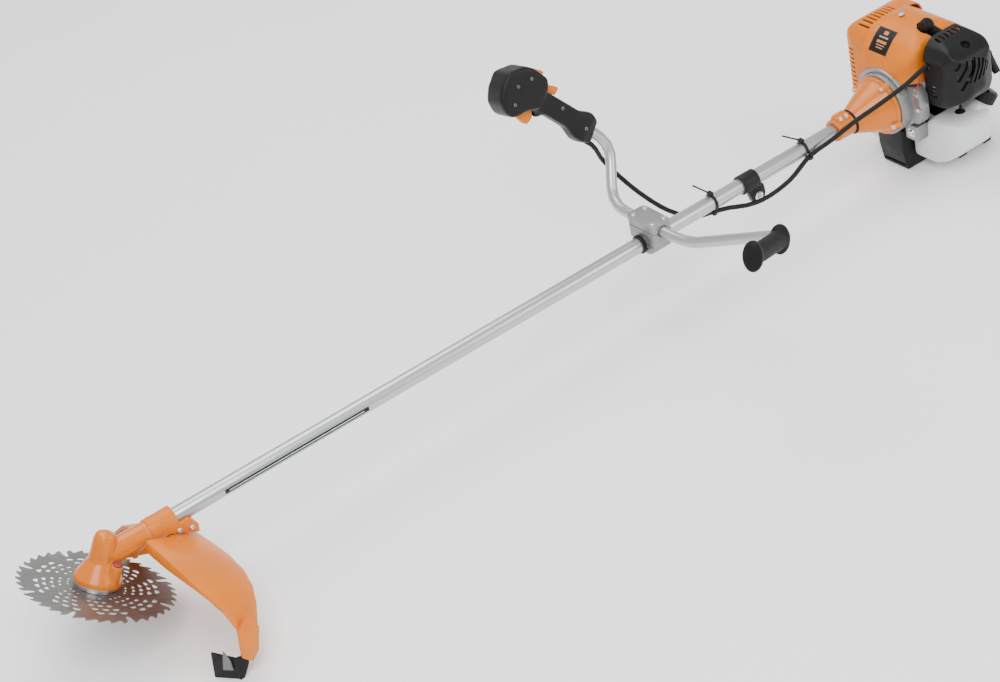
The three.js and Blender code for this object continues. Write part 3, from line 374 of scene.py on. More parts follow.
def prism(outline, put, low, high):
    """An outline in a plane given by put(a, b, depth), with a thickness."""
    bm = bmesh.new()
    lower = [bm.verts.new(put(a, b, low)) for a, b in outline]
    upper = [bm.verts.new(put(a, b, high)) for a, b in outline]
    bm.faces.new(lower[::-1])
    bm.faces.new(upper)
    for i, corner in enumerate(lower):
        j = (i + 1) % len(lower)
        bm.faces.new((corner, lower[j], upper[j], upper[i]))
    return finished(bm)


def lathe(profile, origin, axis, sides):
    """A turned body from [along, radius] pairs, in millimetres, standing on origin."""
    axis = Vector(axis).normalized()
    out = axis.orthogonal().normalized()
    across = axis.cross(out)
    bm = bmesh.new()
    rings = []
    for along, radius in profile:
        centre = origin + axis * (along / 1000)
        if radius == 0:
            rings.append([bm.verts.new(centre)] * sides)
            continue
        rings.append([bm.verts.new(centre + (out * math.cos(t) + across * math.sin(t)) * (radius / 1000))
                      for t in (2 * math.pi * k / sides for k in range(sides))])
    if profile[0][1] and profile[-1][1]:
        rings.append(rings[0])
    for first, second in zip(rings, rings[1:]):
        for k in range(sides):
            j = (k + 1) % sides
            corners = dict.fromkeys((first[k], first[j], second[j], second[k]))
            if len(corners) > 2:
                bm.faces.new(tuple(corners))
    return finished(bm)


def turned(name, material, profile, origin, axis, sides, body="machine"):
    """A piece of its own that is a turned body."""
    return new_piece(name, smooth(lathe(profile, origin, axis, sides)), material, body)


def rod(start, end, radius, sides=24):
    length = (end - start).length * 1000
    return lathe([(0, 0), (0, radius), (length, radius), (length, 0)], start, end - start, sides)


def loft(sections):
    """A body through equal rings of points, closed at both ends."""
    bm = bmesh.new()
    rings = [[bm.verts.new(p) for p in section] for section in sections]
    count = len(rings[0])
    bm.faces.new(rings[0][::-1])
    bm.faces.new(rings[-1])
    for first, second in zip(rings, rings[1:]):
        for k in range(count):
            j = (k + 1) % count
            bm.faces.new((first[k], first[j], second[j], second[k]))
    return finished(bm)


CURVE_STEPS = 8
CORNER_STEPS = 4


def pipe(points, radius, sides=12):
    """A round cord through a list of points."""
    sections = []
    out = (points[1] - points[0]).orthogonal().normalized()
    for i, point in enumerate(points):
        along = (points[min(i + 1, len(points) - 1)] - points[max(i - 1, 0)]).normalized()
        out = (out - along * out.dot(along)).normalized()
        across = along.cross(out)
        sections.append([point + (out * math.cos(t) + across * math.sin(t)) * (radius / 1000)
                         for t in (2 * math.pi * k / sides for k in range(sides))])
    return loft(sections)


def curve(points):
    """Points along a smooth curve through the given ones."""
    ends = [points[0]] + list(points) + [points[-1]]
    result = []
    for a, b, c, d in zip(ends, ends[1:], ends[2:], ends[3:]):
        for k in range(CURVE_STEPS):
            t = k / CURVE_STEPS
            result.append(0.5 * (2 * b + (c - a) * t + (2 * a - 5 * b + 4 * c - d) * t * t
                                 + (3 * b - a - 3 * c + d) * t ** 3))
    return result + [points[-1]]


def cord(name, material, route, radius, sides=12):
    """A piece of its own that is a cord along a route in the shaft frame."""
    return new_piece(name, smooth(pipe(curve([at(*point) for point in route]), radius, sides)), material)


def rectangle(a0, a1, b0, b1, radius=0.0):
    if not radius:
        return [(a0, b0), (a1, b0), (a1, b1), (a0, b1)]
    centres = ((a1 - radius, b0 + radius), (a1 - radius, b1 - radius), (a0 + radius, b1 - radius),
               (a0 + radius, b0 + radius))
    return [(a + radius * math.cos(t), b + radius * math.sin(t))
            for quarter, (a, b) in enumerate(centres)
            for t in ((quarter - 1 + k / CORNER_STEPS) * math.pi / 2 for k in range(CORNER_STEPS + 1))]


def slot_shape(a, b, length, height, tilt=0.0):
    """A slot with round ends about its middle, turned by tilt degrees. It is longer than it is high."""
    c, s = math.cos(math.radians(tilt)), math.sin(math.radians(tilt))
    points = rectangle(-length / 2, length / 2, -height / 2, height / 2, height / 2 - 0.01)
    return [(a + x * c - y * s, b + x * s + y * c) for x, y in points]


# The three ways to look at the machine: an outline's first two numbers lie in the picture, the third
# is the depth.
def from_front(y, z, x):
    return at(x, y, z)


def from_side(x, z, y):
    return at(x, y, z)


def from_above(x, y, z):
    return at(x, y, z)


def plane(origin, first, second):
    """A working plane in millimetres about a point; depth is along first x second."""
    first, second = Vector(first).normalized(), Vector(second).normalized()
    normal = first.cross(second).normalized()
    return lambda a, b, d: origin + (first * a + second * b + normal * d) / 1000


def block(x0, x1, y0, y1, z0, z1):
    return prism(rectangle(x0, x1, y0, y1), from_above, z0, z1)


def steps(low, high, count):
    return [low + (high - low) * k / (count - 1) for k in range(count)]


LABEL_REACH = 60
LABEL_SINK = 0.6


def fallen(outline, put, target):
    """Points of a working plane dropped on to a curved surface, and the way they fall."""
    tree = BVHTree.FromObject(target, bpy.context.evaluated_depsgraph_get())
    down = (put(0, 0, 0) - put(0, 0, 1)).normalized()
    hits = [(tree.ray_cast(put(a, b, LABEL_REACH), down)[0], put(a, b, 0)) for a, b in outline]
    return [flat if hit is None else hit for hit, flat in hits], down


def patch(columns, rows, put, target, lift):
    """A sheet on a curved surface: a grid of points cast on to it, a little proud and a little deep."""
    points, down = fallen([(a, b) for b in rows for a in columns], put, target)
    wide, tall = len(columns), len(rows)
    bm = bmesh.new()
    upper = [bm.verts.new(p - down * (lift / 1000)) for p in points]
    lower = [bm.verts.new(p + down * (LABEL_SINK / 1000)) for p in points]
    for i in range(tall - 1):
        for j in range(wide - 1):
            k = i * wide + j
            for layer in (upper, lower):
                bm.faces.new((layer[k], layer[k + 1], layer[k + wide + 1], layer[k + wide]))
    rim = list(range(wide)) + [wide * (i + 1) - 1 for i in range(1, tall)]
    rim += [wide * tall - 1 - j for j in range(1, wide)] + [wide * (tall - 1 - i) for i in range(1, tall - 1)]
    for i, k in enumerate(rim):
        n = rim[(i + 1) % len(rim)]
        bm.faces.new((upper[k], upper[n], lower[n], lower[k]))
    return finished(bm)


screws = []


def screw(place, axis, radius, material="bright_steel", washer=0.0):
    """A socket screw's head, with a hexagon recess and a washer under it."""
    axis = Vector(axis).normalized()
    tall = radius * 0.95
    profile = [(0, 0), (0, radius), (tall - radius * 0.2, radius), (tall, radius * 0.82), (tall, 0)]
    key = radius * 0.5
    recess = [(tall * 0.45, 0), (tall * 0.45, key), (tall + 1, key), (tall + 1, 0)]
    mesh = cut(lathe(profile, place, axis, 24), lathe(recess, place, axis, 6))
    if washer:
        disc = [(-0.6, 0), (-0.6, washer), (0.8, washer), (1.1, washer - 0.4), (1.1, 0)]
        mesh = joined(mesh, lathe(disc, place, axis, 28))
    screws.append(new_piece(f"screw_machine_{len(screws) + 1}", smooth(mesh), material))


def cad_copy(node):
    """A CAD node's mesh as a copy, without its doubled corners and flat seams."""
    mesh = NODES[node].data.copy()
    bm = bmesh.new()
    bm.from_mesh(mesh)
    bmesh.ops.remove_doubles(bm, verts=bm.verts, dist=2e-6)
    bmesh.ops.dissolve_limit(bm, angle_limit=math.radians(0.6), verts=bm.verts, edges=bm.edges)
    bm.to_mesh(mesh)
    bm.free()
    return mesh


def stand_for(node, mesh, angle=SHARP_ANGLE):
    """A finished piece in the place of a CAD node."""
    piece = new_piece(node + "_finish", smooth(mesh, angle), SLOT_OF[node], BODY_OF[node])
    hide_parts(node)
    return piece


def refine(node, width, segments=2, cutters=()):
    """A CAD node with its edges rounded and its round faces smooth."""
    mesh = cad_copy(node)
    if cutters:
        mesh = cut(mesh, *cutters)
    if width:
        mesh = bevelled(mesh, width, segments)
    return stand_for(node, mesh)


for node, slot in SLOT_OF.items():
    data = NODES[node].data
    data.materials.clear()
    data.materials.append(MATERIALS[slot])

# ---------------------------------------------------------------- cutting head
BLADE_R = 127.2
BLADE_HALF = 0.7
BORE_R = 12.7
TEETH = 40
TOOTH_PITCH = math.tau / TEETH
HOLE_CLUSTERS = 8


def tooth_outline(tooth):
    """One tooth as [turn in pitches, depth below the tips]. Every fifth one has a deep gullet before it."""
    deep = tooth % 5 == 0
    before_deep = tooth % 5 == 4
    throat = ((-0.44, 14), (-0.3, 20.5), (-0.12, 22.5), (0.02, 17.5)) if deep else ((-0.14, 8.6), (0.0, 8.2))
    back = ((0.3, 1.6), (0.5, 5.2)) if before_deep else ((0.34, 2.2), (0.6, 6.0), (0.76, 8.2))
    return throat + ((0.05, 4.5), (0.0, 0), (0.14, 0.2)) + back


def hole_outline(radius, size, turn):
    """A half-round hole as wide as 2 x size, its flat side towards the blade's middle."""
    c, s = math.cos(turn), math.sin(turn)
    flat = [(-size * 0.55, -size), (-size * 0.55, size)]
    bow = [(size * math.sin(q * math.pi / 7) * 0.95 - size * 0.3, size * math.cos(q * math.pi / 7))
           for q in range(8)]
    return [((radius + n) * c - t * s, (radius + n) * s + t * c) for n, t in flat + bow]


def blade_plate():
    outline = []
    for tooth in range(TEETH):
        for turn, depth in tooth_outline(tooth):
            angle = (tooth + turn) * TOOTH_PITCH
            outline.append(((BLADE_R - depth) * math.cos(angle), (BLADE_R - depth) * math.sin(angle)))
    holes = [hole_outline(46 + k * 12.4, 3.0 + k * 0.85, math.radians(cluster * 45 + row * 11.5 + k * 5.2))
             for cluster in range(HOLE_CLUSTERS) for row in range(3) for k in range(5)]
    bore = lathe([(-3, 0), (-3, BORE_R), (3, BORE_R), (3, 0)], in_head(0, 0, 0), HEAD_UP, 32)
    plate = prism(outline, in_head, -BLADE_HALF, BLADE_HALF)
    return cut(plate, gathered([prism(hole, in_head, -3, 3) for hole in holes]), bore)


GREASE_FOOT = in_head(9.5, -27, 15)
GREASE_TOP = in_head(11, -31, 50)


def gear_case():
    """The CAD casting with a wide foot and a boss for the grease plug, all cast into one."""
    foot = lathe([(10, 27), (10, 39), (18, 39), (23, 36), (34, 29), (44, 24), (44, 18), (16, 18), (16, 27)],
                 in_head(0, 0, 0), HEAD_UP, 48)
    boss = rod(GREASE_FOOT, GREASE_TOP, 9.8)
    return melted(joined(cad_copy("gear_case"), foot, boss), 1.2, 9, 0.16)


def grease_plug():
    return lathe([(0, 0), (0, 8.4), (4, 8.4), (6, 6.6), (6, 0)], in_head(11, -31, 49),
                 head_direction(0.04, -0.11, 0.99), 28)


stand_for("blade", blade_plate(), 20)
stand_for("gear_case", gear_case(), 50)
stand_for("grease_plug", grease_plug(), 40)
turned("neck_sleeve", "orange_paint", [(0, 14.2), (0, 19.4), (14, 19.4), (14, 14.2)], at(-60, 0, 0),
       BACKWARDS, 40)
for x, z in ((17, -20), (-4, -13)):
    screw(at(x, -22, z), LEFT, 3.6, washer=4.6)
for node, width in {"guard": 0.6, "guard_bracket": 1.6, "guard_skirt": 0.6, "line_knife": 0.3,
                    "blade_nut": 0.8, "upper_flange": 0.6, "lower_flange": 0.6, "output_shaft": 0.3}.items():
    refine(node, width)

# ---------------------------------------------------------------- shaft and handles
for node, width in {"shaft_tube": 0.3, "handlebar": 0.0, "throttle_cable": 0.0, "cable_tie_1": 0.3,
                    "cable_tie_2": 0.3, "harness_hanger": 1.2, "handle_clamp_lower": 2}.items():
    refine(node, width)
for node in ("handle_clamp_middle", "handle_clamp_top"):
    refine(node, 3.2, 4)
CLAMP_X = 994
CLAMP_TOP = 43.4
for dx in (-13, 13):
    for dy in (-26, 26):
        screw(at(CLAMP_X + dx, dy, CLAMP_TOP), UP, 4.2, washer=5.6)
STRIP_MIDDLE = 180
STRIP_INSIDE = 13.9


def tube_strip(x0, x1, spread, radius):
    """A strip along the tube's left side, wrapped part of the way round it."""
    angles = steps(math.radians(STRIP_MIDDLE - spread), math.radians(STRIP_MIDDLE + spread), 9)
    arc = [(r * math.cos(t), r * math.sin(t)) for r, run in ((radius, angles), (STRIP_INSIDE, angles[::-1]))
           for t in run]
    return smooth(prism(arc, from_front, x0, x1))


new_piece("tube_strip", tube_strip(92, 375, 17, 14.12), "black_plastic")
new_piece("tube_strip_line", tube_strip(100, 365, 3.2, 14.2), "tank_plastic")
turned("shaft_ring", "rubber", [(0, 14.1), (0, 16.5), (1, 17.2), (6, 17.2), (7, 16.5), (7, 14.1)],
       at(963, 0, 0), BACKWARDS, 40)
turned("hanger_eyelet", "bright_steel",
       [(0, 5.9), (0, 4.6), (11.4, 4.6), (11.4, 8.4), (10.6, 8.8), (10.4, 5.9)], at(1228, -3, -31), LEFT, 28)

# The throttle grip's outlines are seen across it: x forwards, z up along the grip.
GRIP_HANDLE = ((-21, 1), (2, -2), (20, -5), (29, 13), (28, 31), (19, 53), (19, 112), (24, 126), (18, 142),
               (-18, 142), (-19, 65), (-19, 43), (-28, 21))
GRIP_HEAD = ((18, 128), (24, 140), (34, 152), (48, 161), (56, 172), (55, 186), (45, 204), (22, 215), (-8, 218),
             (-20, 206), (-34, 192), (-39, 174), (-37, 140), (-30, 134), (-18, 128))
GRIP_COLLAR = ((-23, 12), (28, 12), (28, 30), (-25, 30))
TRIGGER_GUARD = ((17, 106), (30, 114), (31, 120), (24, 128), (17, 128))
TRIGGER_ROOM = ((8, 124), (17, 110), (22, 120), (60, 106), (60, 164), (20, 166), (8, 152))
GRIP_PARTING = 0.15
GRIP_SCREWS = ((4, 190, 25.6), (-20, 172, 25.6), (34, 180, 25.6), (-6, 82, 14.6), (4, 22, 18.6))


def across_grip(x, z, y):
    return in_grip(x, y, z)


def grip_body():
    whole = joined(prism(GRIP_HANDLE, across_grip, -16, 16), prism(GRIP_COLLAR, across_grip, -20.5, 20.5),
                   prism(GRIP_HEAD, across_grip, -27, 27), prism(TRIGGER_GUARD, across_grip, -9, 9))
    whole = melted(whole, 1.5, 120, 0.22)
    bar_room = rod(in_grip(0, 0, -30), in_grip(0, 0, 118), 10.6)
    trigger_room = prism(TRIGGER_ROOM, across_grip, -5.6, 5.6)
    lockout_room = prism(rectangle(-60, -12.5, 94, 135), across_grip, -5.4, 5.4)
    switch_room = prism(rectangle(-60, -34, 139, 160), across_grip, -32, 5)
    cable_room = rod(in_grip(20, 0, -16), in_grip(20, 0, 3), 6)
    return cut(whole, bar_room, trigger_room, lockout_room, switch_room, cable_room)


grip = grip_body()
for node, low, high in (("throttle_grip_left", GRIP_PARTING, 90), ("throttle_grip_right", -90, -GRIP_PARTING)):
    stand_for(node, shared(grip, prism(rectangle(-90, 90, -90, 260), across_grip, low, high)), 45)
for x, z, y in GRIP_SCREWS:
    screw(in_grip(x, y, z), GRIP_ACROSS, 3.2, "dark_steel")
for node in ("throttle_trigger", "lockout_lever", "stop_switch"):
    refine(node, 1.3, 3)

LEFT_GRIP_START = at(1010, -343, 129)
LEFT_GRIP_END = at(895, -415, 186)
RIDGE_PITCH = 5.4


def left_grip():
    """A rubber sleeve with rounded ridges round it and a flange at each end."""
    start, end = LEFT_GRIP_START, LEFT_GRIP_END
    along = (end - start).normalized()
    tall = (Vector((0, 0, 1)) - along * along.z).normalized()
    wide = along.cross(tall)
    length = (end - start).length * 1000
    stations = [(0, 10.7, 10.7), (0, 15.5, 22), (1.5, 17, 25), (6, 17, 25.4), (9.5, 15.5, 21)]
    s = 12.0
    while s < length - 14:
        stations += [(s, 14.4, 15.4), (s + 0.8, 15.6, 16.8), (s + 3.4, 15.6, 16.8), (s + 4.2, 14.4, 15.4)]
        s += RIDGE_PITCH
    stations += [(length - 9.5, 15.5, 21), (length - 6, 17, 25.4), (length - 1.5, 17, 25.4),
                 (length, 15.4, 23.5), (length, 9, 11)]
    rings = [[start + along * (s / 1000) + (wide * (a * math.cos(t)) + tall * (b * math.sin(t))) / 1000
              for t in steps(0, math.tau * 31 / 32, 32)] for s, a, b in stations]
    return loft(rings)


stand_for("left_grip", left_grip(), 40)

# ---------------------------------------------------------------- clutch housing and crankcase
HOUSING_SCREW_R = 53.5
refine("clutch_housing", 1.2, 3)
refine("crankcase", 1.6, 2)
for angle in (22, 118, 205, 302):
    y = HOUSING_SCREW_R * math.cos(math.radians(angle))
    z = HOUSING_SCREW_R * math.sin(math.radians(angle))
    turned(f"housing_boss_{angle}", "orange_paint", [(0, 0), (0, 5.6), (1, 6.6), (14, 7.2), (14, 0)],
           at(1527, y, z), BACKWARDS, 24)
    screw(at(1527.2, y, z), FORWARDS, 4.2, washer=5.2)
turned("neck_ring", "rubber", [(0, 20), (0, 21.8), (1.6, 23.2), (3.6, 24.4), (4, 20)], at(1463, 0, 0),
       BACKWARDS, 40)


def neck_lug():
    """The split lug on the housing's neck, which its two screws draw together."""
    lug = prism(rectangle(1430, 1460, 8, 27, 3), from_side, -9, 9)
    lug = melted(joined(lug, rod(at(1430, 0, 0), at(1460, 0, 0), 21.4)), 1.2, 6, 0.3)
    neck = rod(at(1400, 0, 0), at(1480, 0, 0), 20.8)
    return smooth(cut(lug, neck, block(1420, 1470, -0.7, 0.7, 0, 40)), 45)


new_piece("neck_lug", neck_lug(), "orange_paint")
for x in (1438, 1452):
    screw(at(x, -8.6, 23), LEFT, 3.4, washer=4.2)
for y, z in ((-74, 33), (-76, 2)):
    screw(at(1564.2, y, z), FORWARDS, 4.0, washer=5.4)
screw(at(1566, -51, -55), FORWARDS, 6.0, washer=9.5)
turned("tank_damper", "cast_grey", [(0, 0), (0, 10), (3, 12), (16, 12), (18, 10), (18, 0)],
       at(1566.5, -51, -55), BACKWARDS, 32)
band = lathe([(0, 61.2), (0, 67.5), (1.5, 68.5), (11, 68.5), (11, 61.2)], at(1549.5, 0, 0), BACKWARDS, 64)
new_piece("grey_band", smooth(shared(band, block(1500, 1600, -52, 60, 8, 80)), 40), "cast_grey")

# ---------------------------------------------------------------- engine cover
# A cover is what its three outlines share, from the side, the front and above, with its edges melted.
COVER_WALL = 3
COVER_SIDE = ((1553, 5), (1553, 72), (1561, 96), (1582, 118), (1608, 134), (1632, 140), (1654, 139),
              (1676, 130), (1700, 113), (1716, 94), (1716, 5))
COVER_FRONT = ((-68, 5), (-68, 110), (-60, 124), (-42, 133), (-29, 143), (-16, 145), (20, 145), (32, 143),
               (44, 134), (62, 131), (62, 5))
COVER_TOP = ((1553, -36), (1562, -56), (1580, -68), (1700, -68), (1716, -52), (1716, 62), (1553, 62))
PLUG_SEAT = Vector((1624, -14, 96))
PLUG_AXIS = Vector((0.15, -0.6, 0.78)).normalized()


def along_plug(s):
    return at(*(PLUG_SEAT + PLUG_AXIS * s))


def rear_slot(y, z, length, height, bow=0.0, tilt=0.0):
    """A long slot seen from behind, bowed upwards in its middle."""
    upper, lower = [], []
    for t in steps(-1, 1, 9):
        rise = bow * (1 - t * t) + t * length / 2 * math.tan(math.radians(tilt))
        half = height / 2 * math.sqrt(max(0.0, 1 - max(0.0, abs(t) - 0.8) ** 2 * 20))
        upper.append((y + t * length / 2, z + rise + half))
        lower.append((y + t * length / 2, z + rise - half))
    return prism(lower + upper[::-1], from_front, 1694, 1735)


def engine_cover_shell():
    outer = melted(shared(prism(COVER_SIDE, from_side, -100, 100), prism(COVER_FRONT, from_front, 1500, 1750),
                          prism(COVER_TOP, from_above, -10, 200)), 2.0, 90, 0.2)
    slots = [rear_slot(0, 56 + 8.9 * k, 64 - k * 0.9, 4.6, bow=3.0) for k in range(8)]
    slots += [rear_slot(-54, 50 + 8.0 * k, 12 if k else 8, 4.0) for k in range(9)]
    open_sides = (block(1500, 1800, -120, 120, -20, 20), block(1500, 1800, 52, 120, -20, 200),
                  block(1556, 1713, -65, 49, 0, 40),
                  prism(((1540, 0), (1540, 52), (1600, 46), (1730, 30), (1730, 0)), from_side, -90, -40))
    housing_room = rod(at(1540, 0, 0), at(1594, 0, 0), 60.8, 48)
    starter_room = block(1690, 1730, -46, 46, 0, 38.6)
    muffler_room = block(1598, 1700, 40, 60, 10, 118)
    carburettor_room = block(1601, 1656, -80, -50, 10, 96)
    plug_room = rod(along_plug(24), along_plug(80), 15)
    lead_room = rod(along_plug(46), at(1654, -78, 104), 13.5)
    return cut(outer, shrunk(outer, COVER_WALL), *open_sides, housing_room, starter_room, muffler_room,
               carburettor_room, plug_room, lead_room, gathered(slots))


engine_cover = stand_for("engine_cover", engine_cover_shell(), 45)

# ---------------------------------------------------------------- muffler cover
MUFFLER_SIDE = ((1577, -38), (1577, 84), (1586, 106), (1604, 120), (1636, 127), (1690, 127), (1708, 119),
                (1716, 104), (1716, -40), (1708, -47), (1588, -47))
MUFFLER_FRONT = ((38, -47), (38, 127), (84, 125), (104, 118), (119, 106), (128, 88), (134, 44), (134, -36),
                 (129, -47))
MUFFLER_TOP = ((1577, 38), (1577, 106), (1584, 122), (1600, 134), (1704, 134), (1716, 120), (1716, 38))


def muffler_cover_shell():
    outer = melted(shared(prism(MUFFLER_SIDE, from_side, 0, 200), prism(MUFFLER_FRONT, from_front, 1500, 1750),
                          prism(MUFFLER_TOP, from_above, -100, 200)), 2.0, 90, 0.2)
    back_slots = [rear_slot(90, 40 + 8.4 * k, 44 - k * 0.6, 4.6, tilt=-5) for k in range(7)]
    front_slots = [prism(slot_shape(112, 64 - 9.6 * k, 26, 4.4, -4), from_front, 1570, 1597)
                   for k in range(10)]
    top_slots = [prism(slot_shape(1596 + 8.6 * k, 82 - k * 1.2, 30, 4.0, 90), from_above, 99, 140)
                 for k in range(8)]
    open_side = block(1500, 1800, 0, 53, -100, 200)
    outlet = block(1705, 1730, 68, 114, -12, 28)
    housing_room = rod(at(1540, 0, 0), at(1593, 0, 0), 60.8, 48)
    return cut(outer, shrunk(outer, COVER_WALL), open_side, outlet, housing_room, gathered(back_slots),
               gathered(front_slots), gathered(top_slots))


stand_for("muffler_cover", muffler_cover_shell(), 45)
refine("muffler", 2.5, 3)

# ---------------------------------------------------------------- air filter cover
FILTER_SIDE = ((1588, 2), (1588, 100), (1597, 121), (1614, 133), (1674, 133), (1687, 120), (1689, 44),
               (1664, 20))
FILTER_FRONT = ((-60, 0), (-60, 133), (-98, 133), (-128, 124), (-153, 110), (-166, 88), (-166, 42), (-157, 24),
                (-118, 6))
FILTER_TOP = ((1588, -60), (1588, -130), (1600, -151), (1620, -164), (1650, -166), (1681, -154), (1689, -136),
              (1689, -60))
LOUVRES = ((1602, 90, 106), (1610, 66, 108), (1618, 46, 106), (1627, 60, 108), (1636, 58, 104), (1645, 60, 100),
           (1654, 64, 94), (1662, 70, 88))
LOUVRE_TILT = 62


def filter_cover_shell():
    outer = melted(shared(prism(FILTER_SIDE, from_side, -200, 0), prism(FILTER_FRONT, from_front, 1500, 1750),
                          prism(FILTER_TOP, from_above, -100, 200)), 1.8, 60, 0.2)
    louvres = [prism(slot_shape(x, (low + high) / 2, high - low, 4.4, LOUVRE_TILT), from_side, -180, -140)
               for x, low, high in LOUVRES]
    top_slots = [prism(slot_shape(1612 + 10.4 * k, -94, 17, 4.4, 82), from_above, 112, 150) for k in range(6)]
    low_slots = [prism(slot_shape(-98, 28 + 9 * k, 14, 3.8, -8), from_front, 1580, 1596) for k in range(3)]
    open_side = block(1500, 1800, -76, 0, -100, 200)
    cable_slot = block(1580, 1600, -92.5, -60, 79, 94)
    choke_room = block(1664, 1700, -110, -60, -10, 92)
    primer_room = block(1626, 1654, -106, -60, -10, 24)
    knob_room = rod(at(1640, -128, 100), at(1643, -136, 140), 9)
    return cut(outer, shrunk(outer, COVER_WALL), open_side, cable_slot, choke_room, primer_room, knob_room,
               gathered(louvres), gathered(top_slots), gathered(low_slots))


stand_for("air_filter_cover", filter_cover_shell(), 45)
turned("filter_knob", "black_plastic", [(0, 0), (0, 8.2), (5, 8.2), (7, 6.8), (7, 0)], at(1640, -128, 108),
       (0.07, -0.2, 1), 28, "filter_lid")


# ---------------------------------------------------------------- plug boot, carburettor side
def plug_boot():
    """A rubber boot over the spark plug, with a domed cap and an elbow for the lead."""
    dome = lathe([(0, 0), (0, 13.5), (8, 12.6), (12, 9), (13.5, 0)], along_plug(52), PLUG_AXIS, 32)
    elbow = rod(along_plug(52), at(1650, -61, 113), 9.6)
    boot = melted(joined(rod(along_plug(33), along_plug(56), 12.4), dome, elbow), 1.2, 9, 0.25)
    return cut(boot, rod(along_plug(30), along_plug(50), 5.2))


stand_for("plug_boot", plug_boot(), 50)
cord("plug_lead", "rubber", ((1647, -58, 116), (1662, -68, 106), (1673, -71, 86), (1673, -70, 58),
                             (1668, -64, 42)), 3.4)
for node, width in {"carburettor": 1.4, "choke_lever": 1.0, "primer_bulb": 2.0, "intake_pipe": 1.0,
                    "air_filter_element": 1.0}.items():
    refine(node, width)
cord("fuel_line", "rubber", ((1645, -99, -32), (1647, -100, -10), (1648, -100, 16), (1647, -98, 36),
                             (1646, -95, 52)), 2.4)
turned("tank_grommet", "rubber", [(0, 0), (0, 10), (2, 10), (4, 8.4), (6, 4), (6, 0)], at(1645, -99, -34),
       UP, 28)
cord("earth_wire", "red_plug", ((1592, -78, 84), (1572, -84, 70), (1560.5, -80, 44), (1560, -76, 22),
                                (1562, -80, 10), (1566, -84, 6)), 1.1, 8)

# ---------------------------------------------------------------- starter
refine("starter_cover", 2.6, 3)
turned("starter_plate", "black_plastic", [(0, 0), (0, 34), (0.8, 34), (1.2, 33.2), (1.2, 0)],
       at(1749.8, 0, -7), BACKWARDS, 56)
for y in (-37, 37):
    for z in (-44, 30):
        screw(at(1749.6, y, z), BACKWARDS, 4.4, washer=5.6)
stand_for("starter_grip", melted(cad_copy("starter_grip"), 1.2, 8, 0.3), 50)
rope_exit = Vector((1737, -54, 2))
pull = Vector((0, -0.62, 0.7846))
rope = pipe([at(*(rope_exit + pull * s)) for s in steps(-14, 8, 12)], 1.8, 10)
rope_piece = bpy.data.objects.new("starter_rope", smooth(rope))
SCENE.collection.objects.link(rope_piece)
rope.materials.append(MATERIALS["rubber"])
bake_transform(rope_piece)

# ---------------------------------------------------------------- tank
TANK_FRONT = ((-151, -66), (-150, -50), (-143, -38), (-128, -31), (-70, -33), (-58, -44), (-50, -72),
              (44, -72), (60, -54), (108, -54), (120, -62), (124, -76), (122, -94), (112, -114), (92, -127),
              (-78, -128), (-106, -115), (-129, -98), (-145, -81))
TANK_TOP = ((1592, -112), (1596, -130), (1608, -144), (1626, -151), (1658, -151), (1682, -139), (1698, -116),
            (1704, -84), (1704, 108), (1696, 124), (1602, 124), (1592, 110))
FILLER = Vector((1684, -108, -36))
FILLER_AXIS = Vector((0.55, -0.18, 0.81)).normalized()
CAP_RIBS = 30
RIB_R, GROOVE_R = 22, 20.9


def along_filler(s):
    return at(*(FILLER + FILLER_AXIS * s))


def tank_shell():
    tank = shared(prism(TANK_FRONT, from_front, 1500, 1800), prism(TANK_TOP, from_above, -200, 0))
    tank = cut(tank, block(1560, 1641, -21.5, 47.5, -140, -50), block(1661, 1760, -69.5, 39.5, -140, -30))
    tank = cut(tank, rod(along_filler(11), along_filler(70), 44))
    neck = lathe([(-14, 0), (-14, 24), (0, 21), (8, 17), (24, 17), (24, 0)], along_filler(0), FILLER_AXIS, 40)
    return joined(melted(tank, 2.4, 90, 0.2), neck)


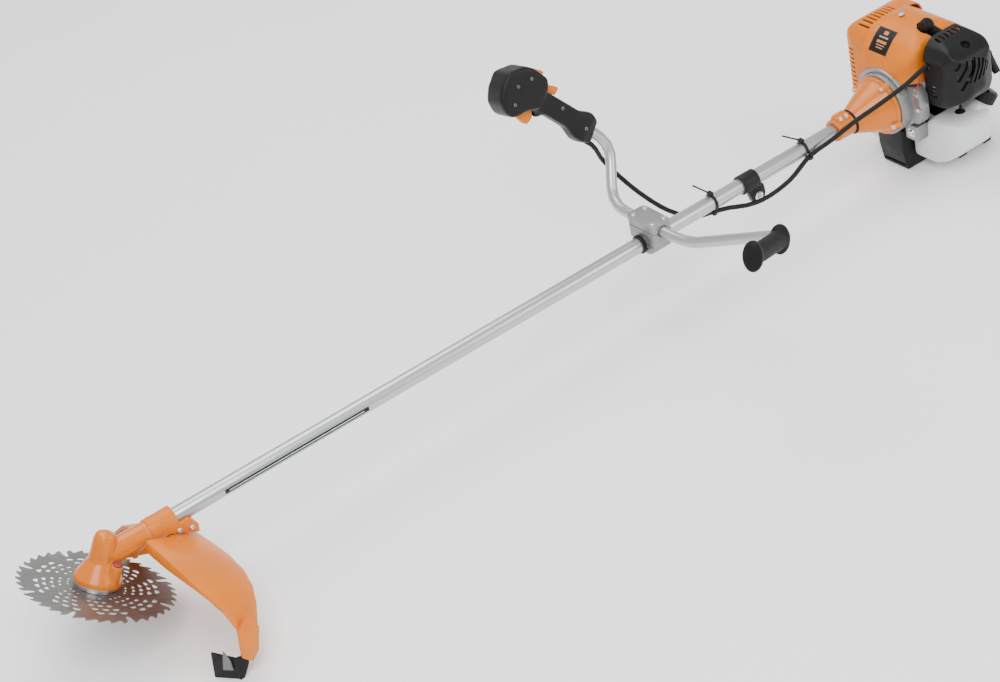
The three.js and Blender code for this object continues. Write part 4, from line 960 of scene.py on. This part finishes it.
def tank_cap():
    """A ribbed cap with a dome, and a raised bar across it left between two notches."""
    rib = ((RIB_R, 0.1), (RIB_R, 0.5), (GROOVE_R, 0.62), (GROOVE_R, 0.95))
    turns = [(r, (k + part) * math.tau / CAP_RIBS) for k in range(CAP_RIBS) for r, part in rib]
    across = FILLER_AXIS.orthogonal()
    cap_plane = plane(along_filler(0), across, FILLER_AXIS.cross(across))
    dome = lathe([(12, 0), (12, 21.4), (33, 21.4), (35, 19.5), (36, 16), (36, 0)], along_filler(0),
                 FILLER_AXIS, 48)
    cap = joined(prism([(r * math.cos(t), r * math.sin(t)) for r, t in turns], cap_plane, 13, 32), dome)
    notches = [prism(rectangle(low, high, -3, 3), cap_plane, 31.5, 40) for low, high in ((-30, -7), (7, 30))]
    return cut(cap, *notches, rod(along_filler(0), along_filler(25), 17.5))


stand_for("fuel_tank", tank_shell(), 50)
stand_for("tank_cap", tank_cap(), 30)

# ---------------------------------------------------------------- battery box and stand
BOX_BACK = 1744
refine("battery_box", 2.6, 3, cutters=[rod(at(1730, -56, -96), at(1760, -56, -96), 3.4)])
refine("start_button", 0.6)
refine("engine_stand", 3, 3)


def on_box_back(y, z, depth):
    return at(BOX_BACK + depth, y, z)


box_label = prism(rectangle(-34, 24, -132, -82, 3), on_box_back, -0.4, 0.35)
new_piece("box_label", smooth(box_label), "tank_plastic")
for low, high, name in ((-93, -82.4, "top"), (-131.6, -120, "bottom")):
    stripe = prism(rectangle(-33.4, 23.4, low, high, 2.4), on_box_back, -0.4, 0.6)
    new_piece("box_label_" + name, smooth(stripe), "orange_plastic")
for y, z in ((-30, -66), (22, -66), (-30, -147), (30, -147)):
    screw(at(1743.7, y, z), BACKWARDS, 3.8)
turned("button_ring", "dark_steel", [(0, 6.1), (0, 8.2), (0.8, 8), (0.8, 6.1)], at(1743.9, -56, -80),
       BACKWARDS, 32)

# ---------------------------------------------------------------- plain labels
LABEL_MARKS = ((12, 19, 5), (5, 8, 11), (-5, 0, 12), (-10, -8, 10), (-15, -13, 8))
slope = plane(at(1577, 14, 112), LEFT, (0.62, 0, 0.78))
label = patch(steps(-23, 22, 12), steps(-24, 24, 14), slope, engine_cover, 0.45)
new_piece("cover_label", smooth(label), "black_plastic")
for k, (low, high, half) in enumerate(LABEL_MARKS):
    stripe = patch(steps(-half, half, 6), steps(low, high, 3), slope, engine_cover, 0.65)
    new_piece(f"cover_label_mark_{k}", smooth(stripe), "orange_plastic" if k % 2 == 0 else "cast_grey")
screw(at(1630, 16, 142.2), UP, 4.2, washer=6)

low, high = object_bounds()
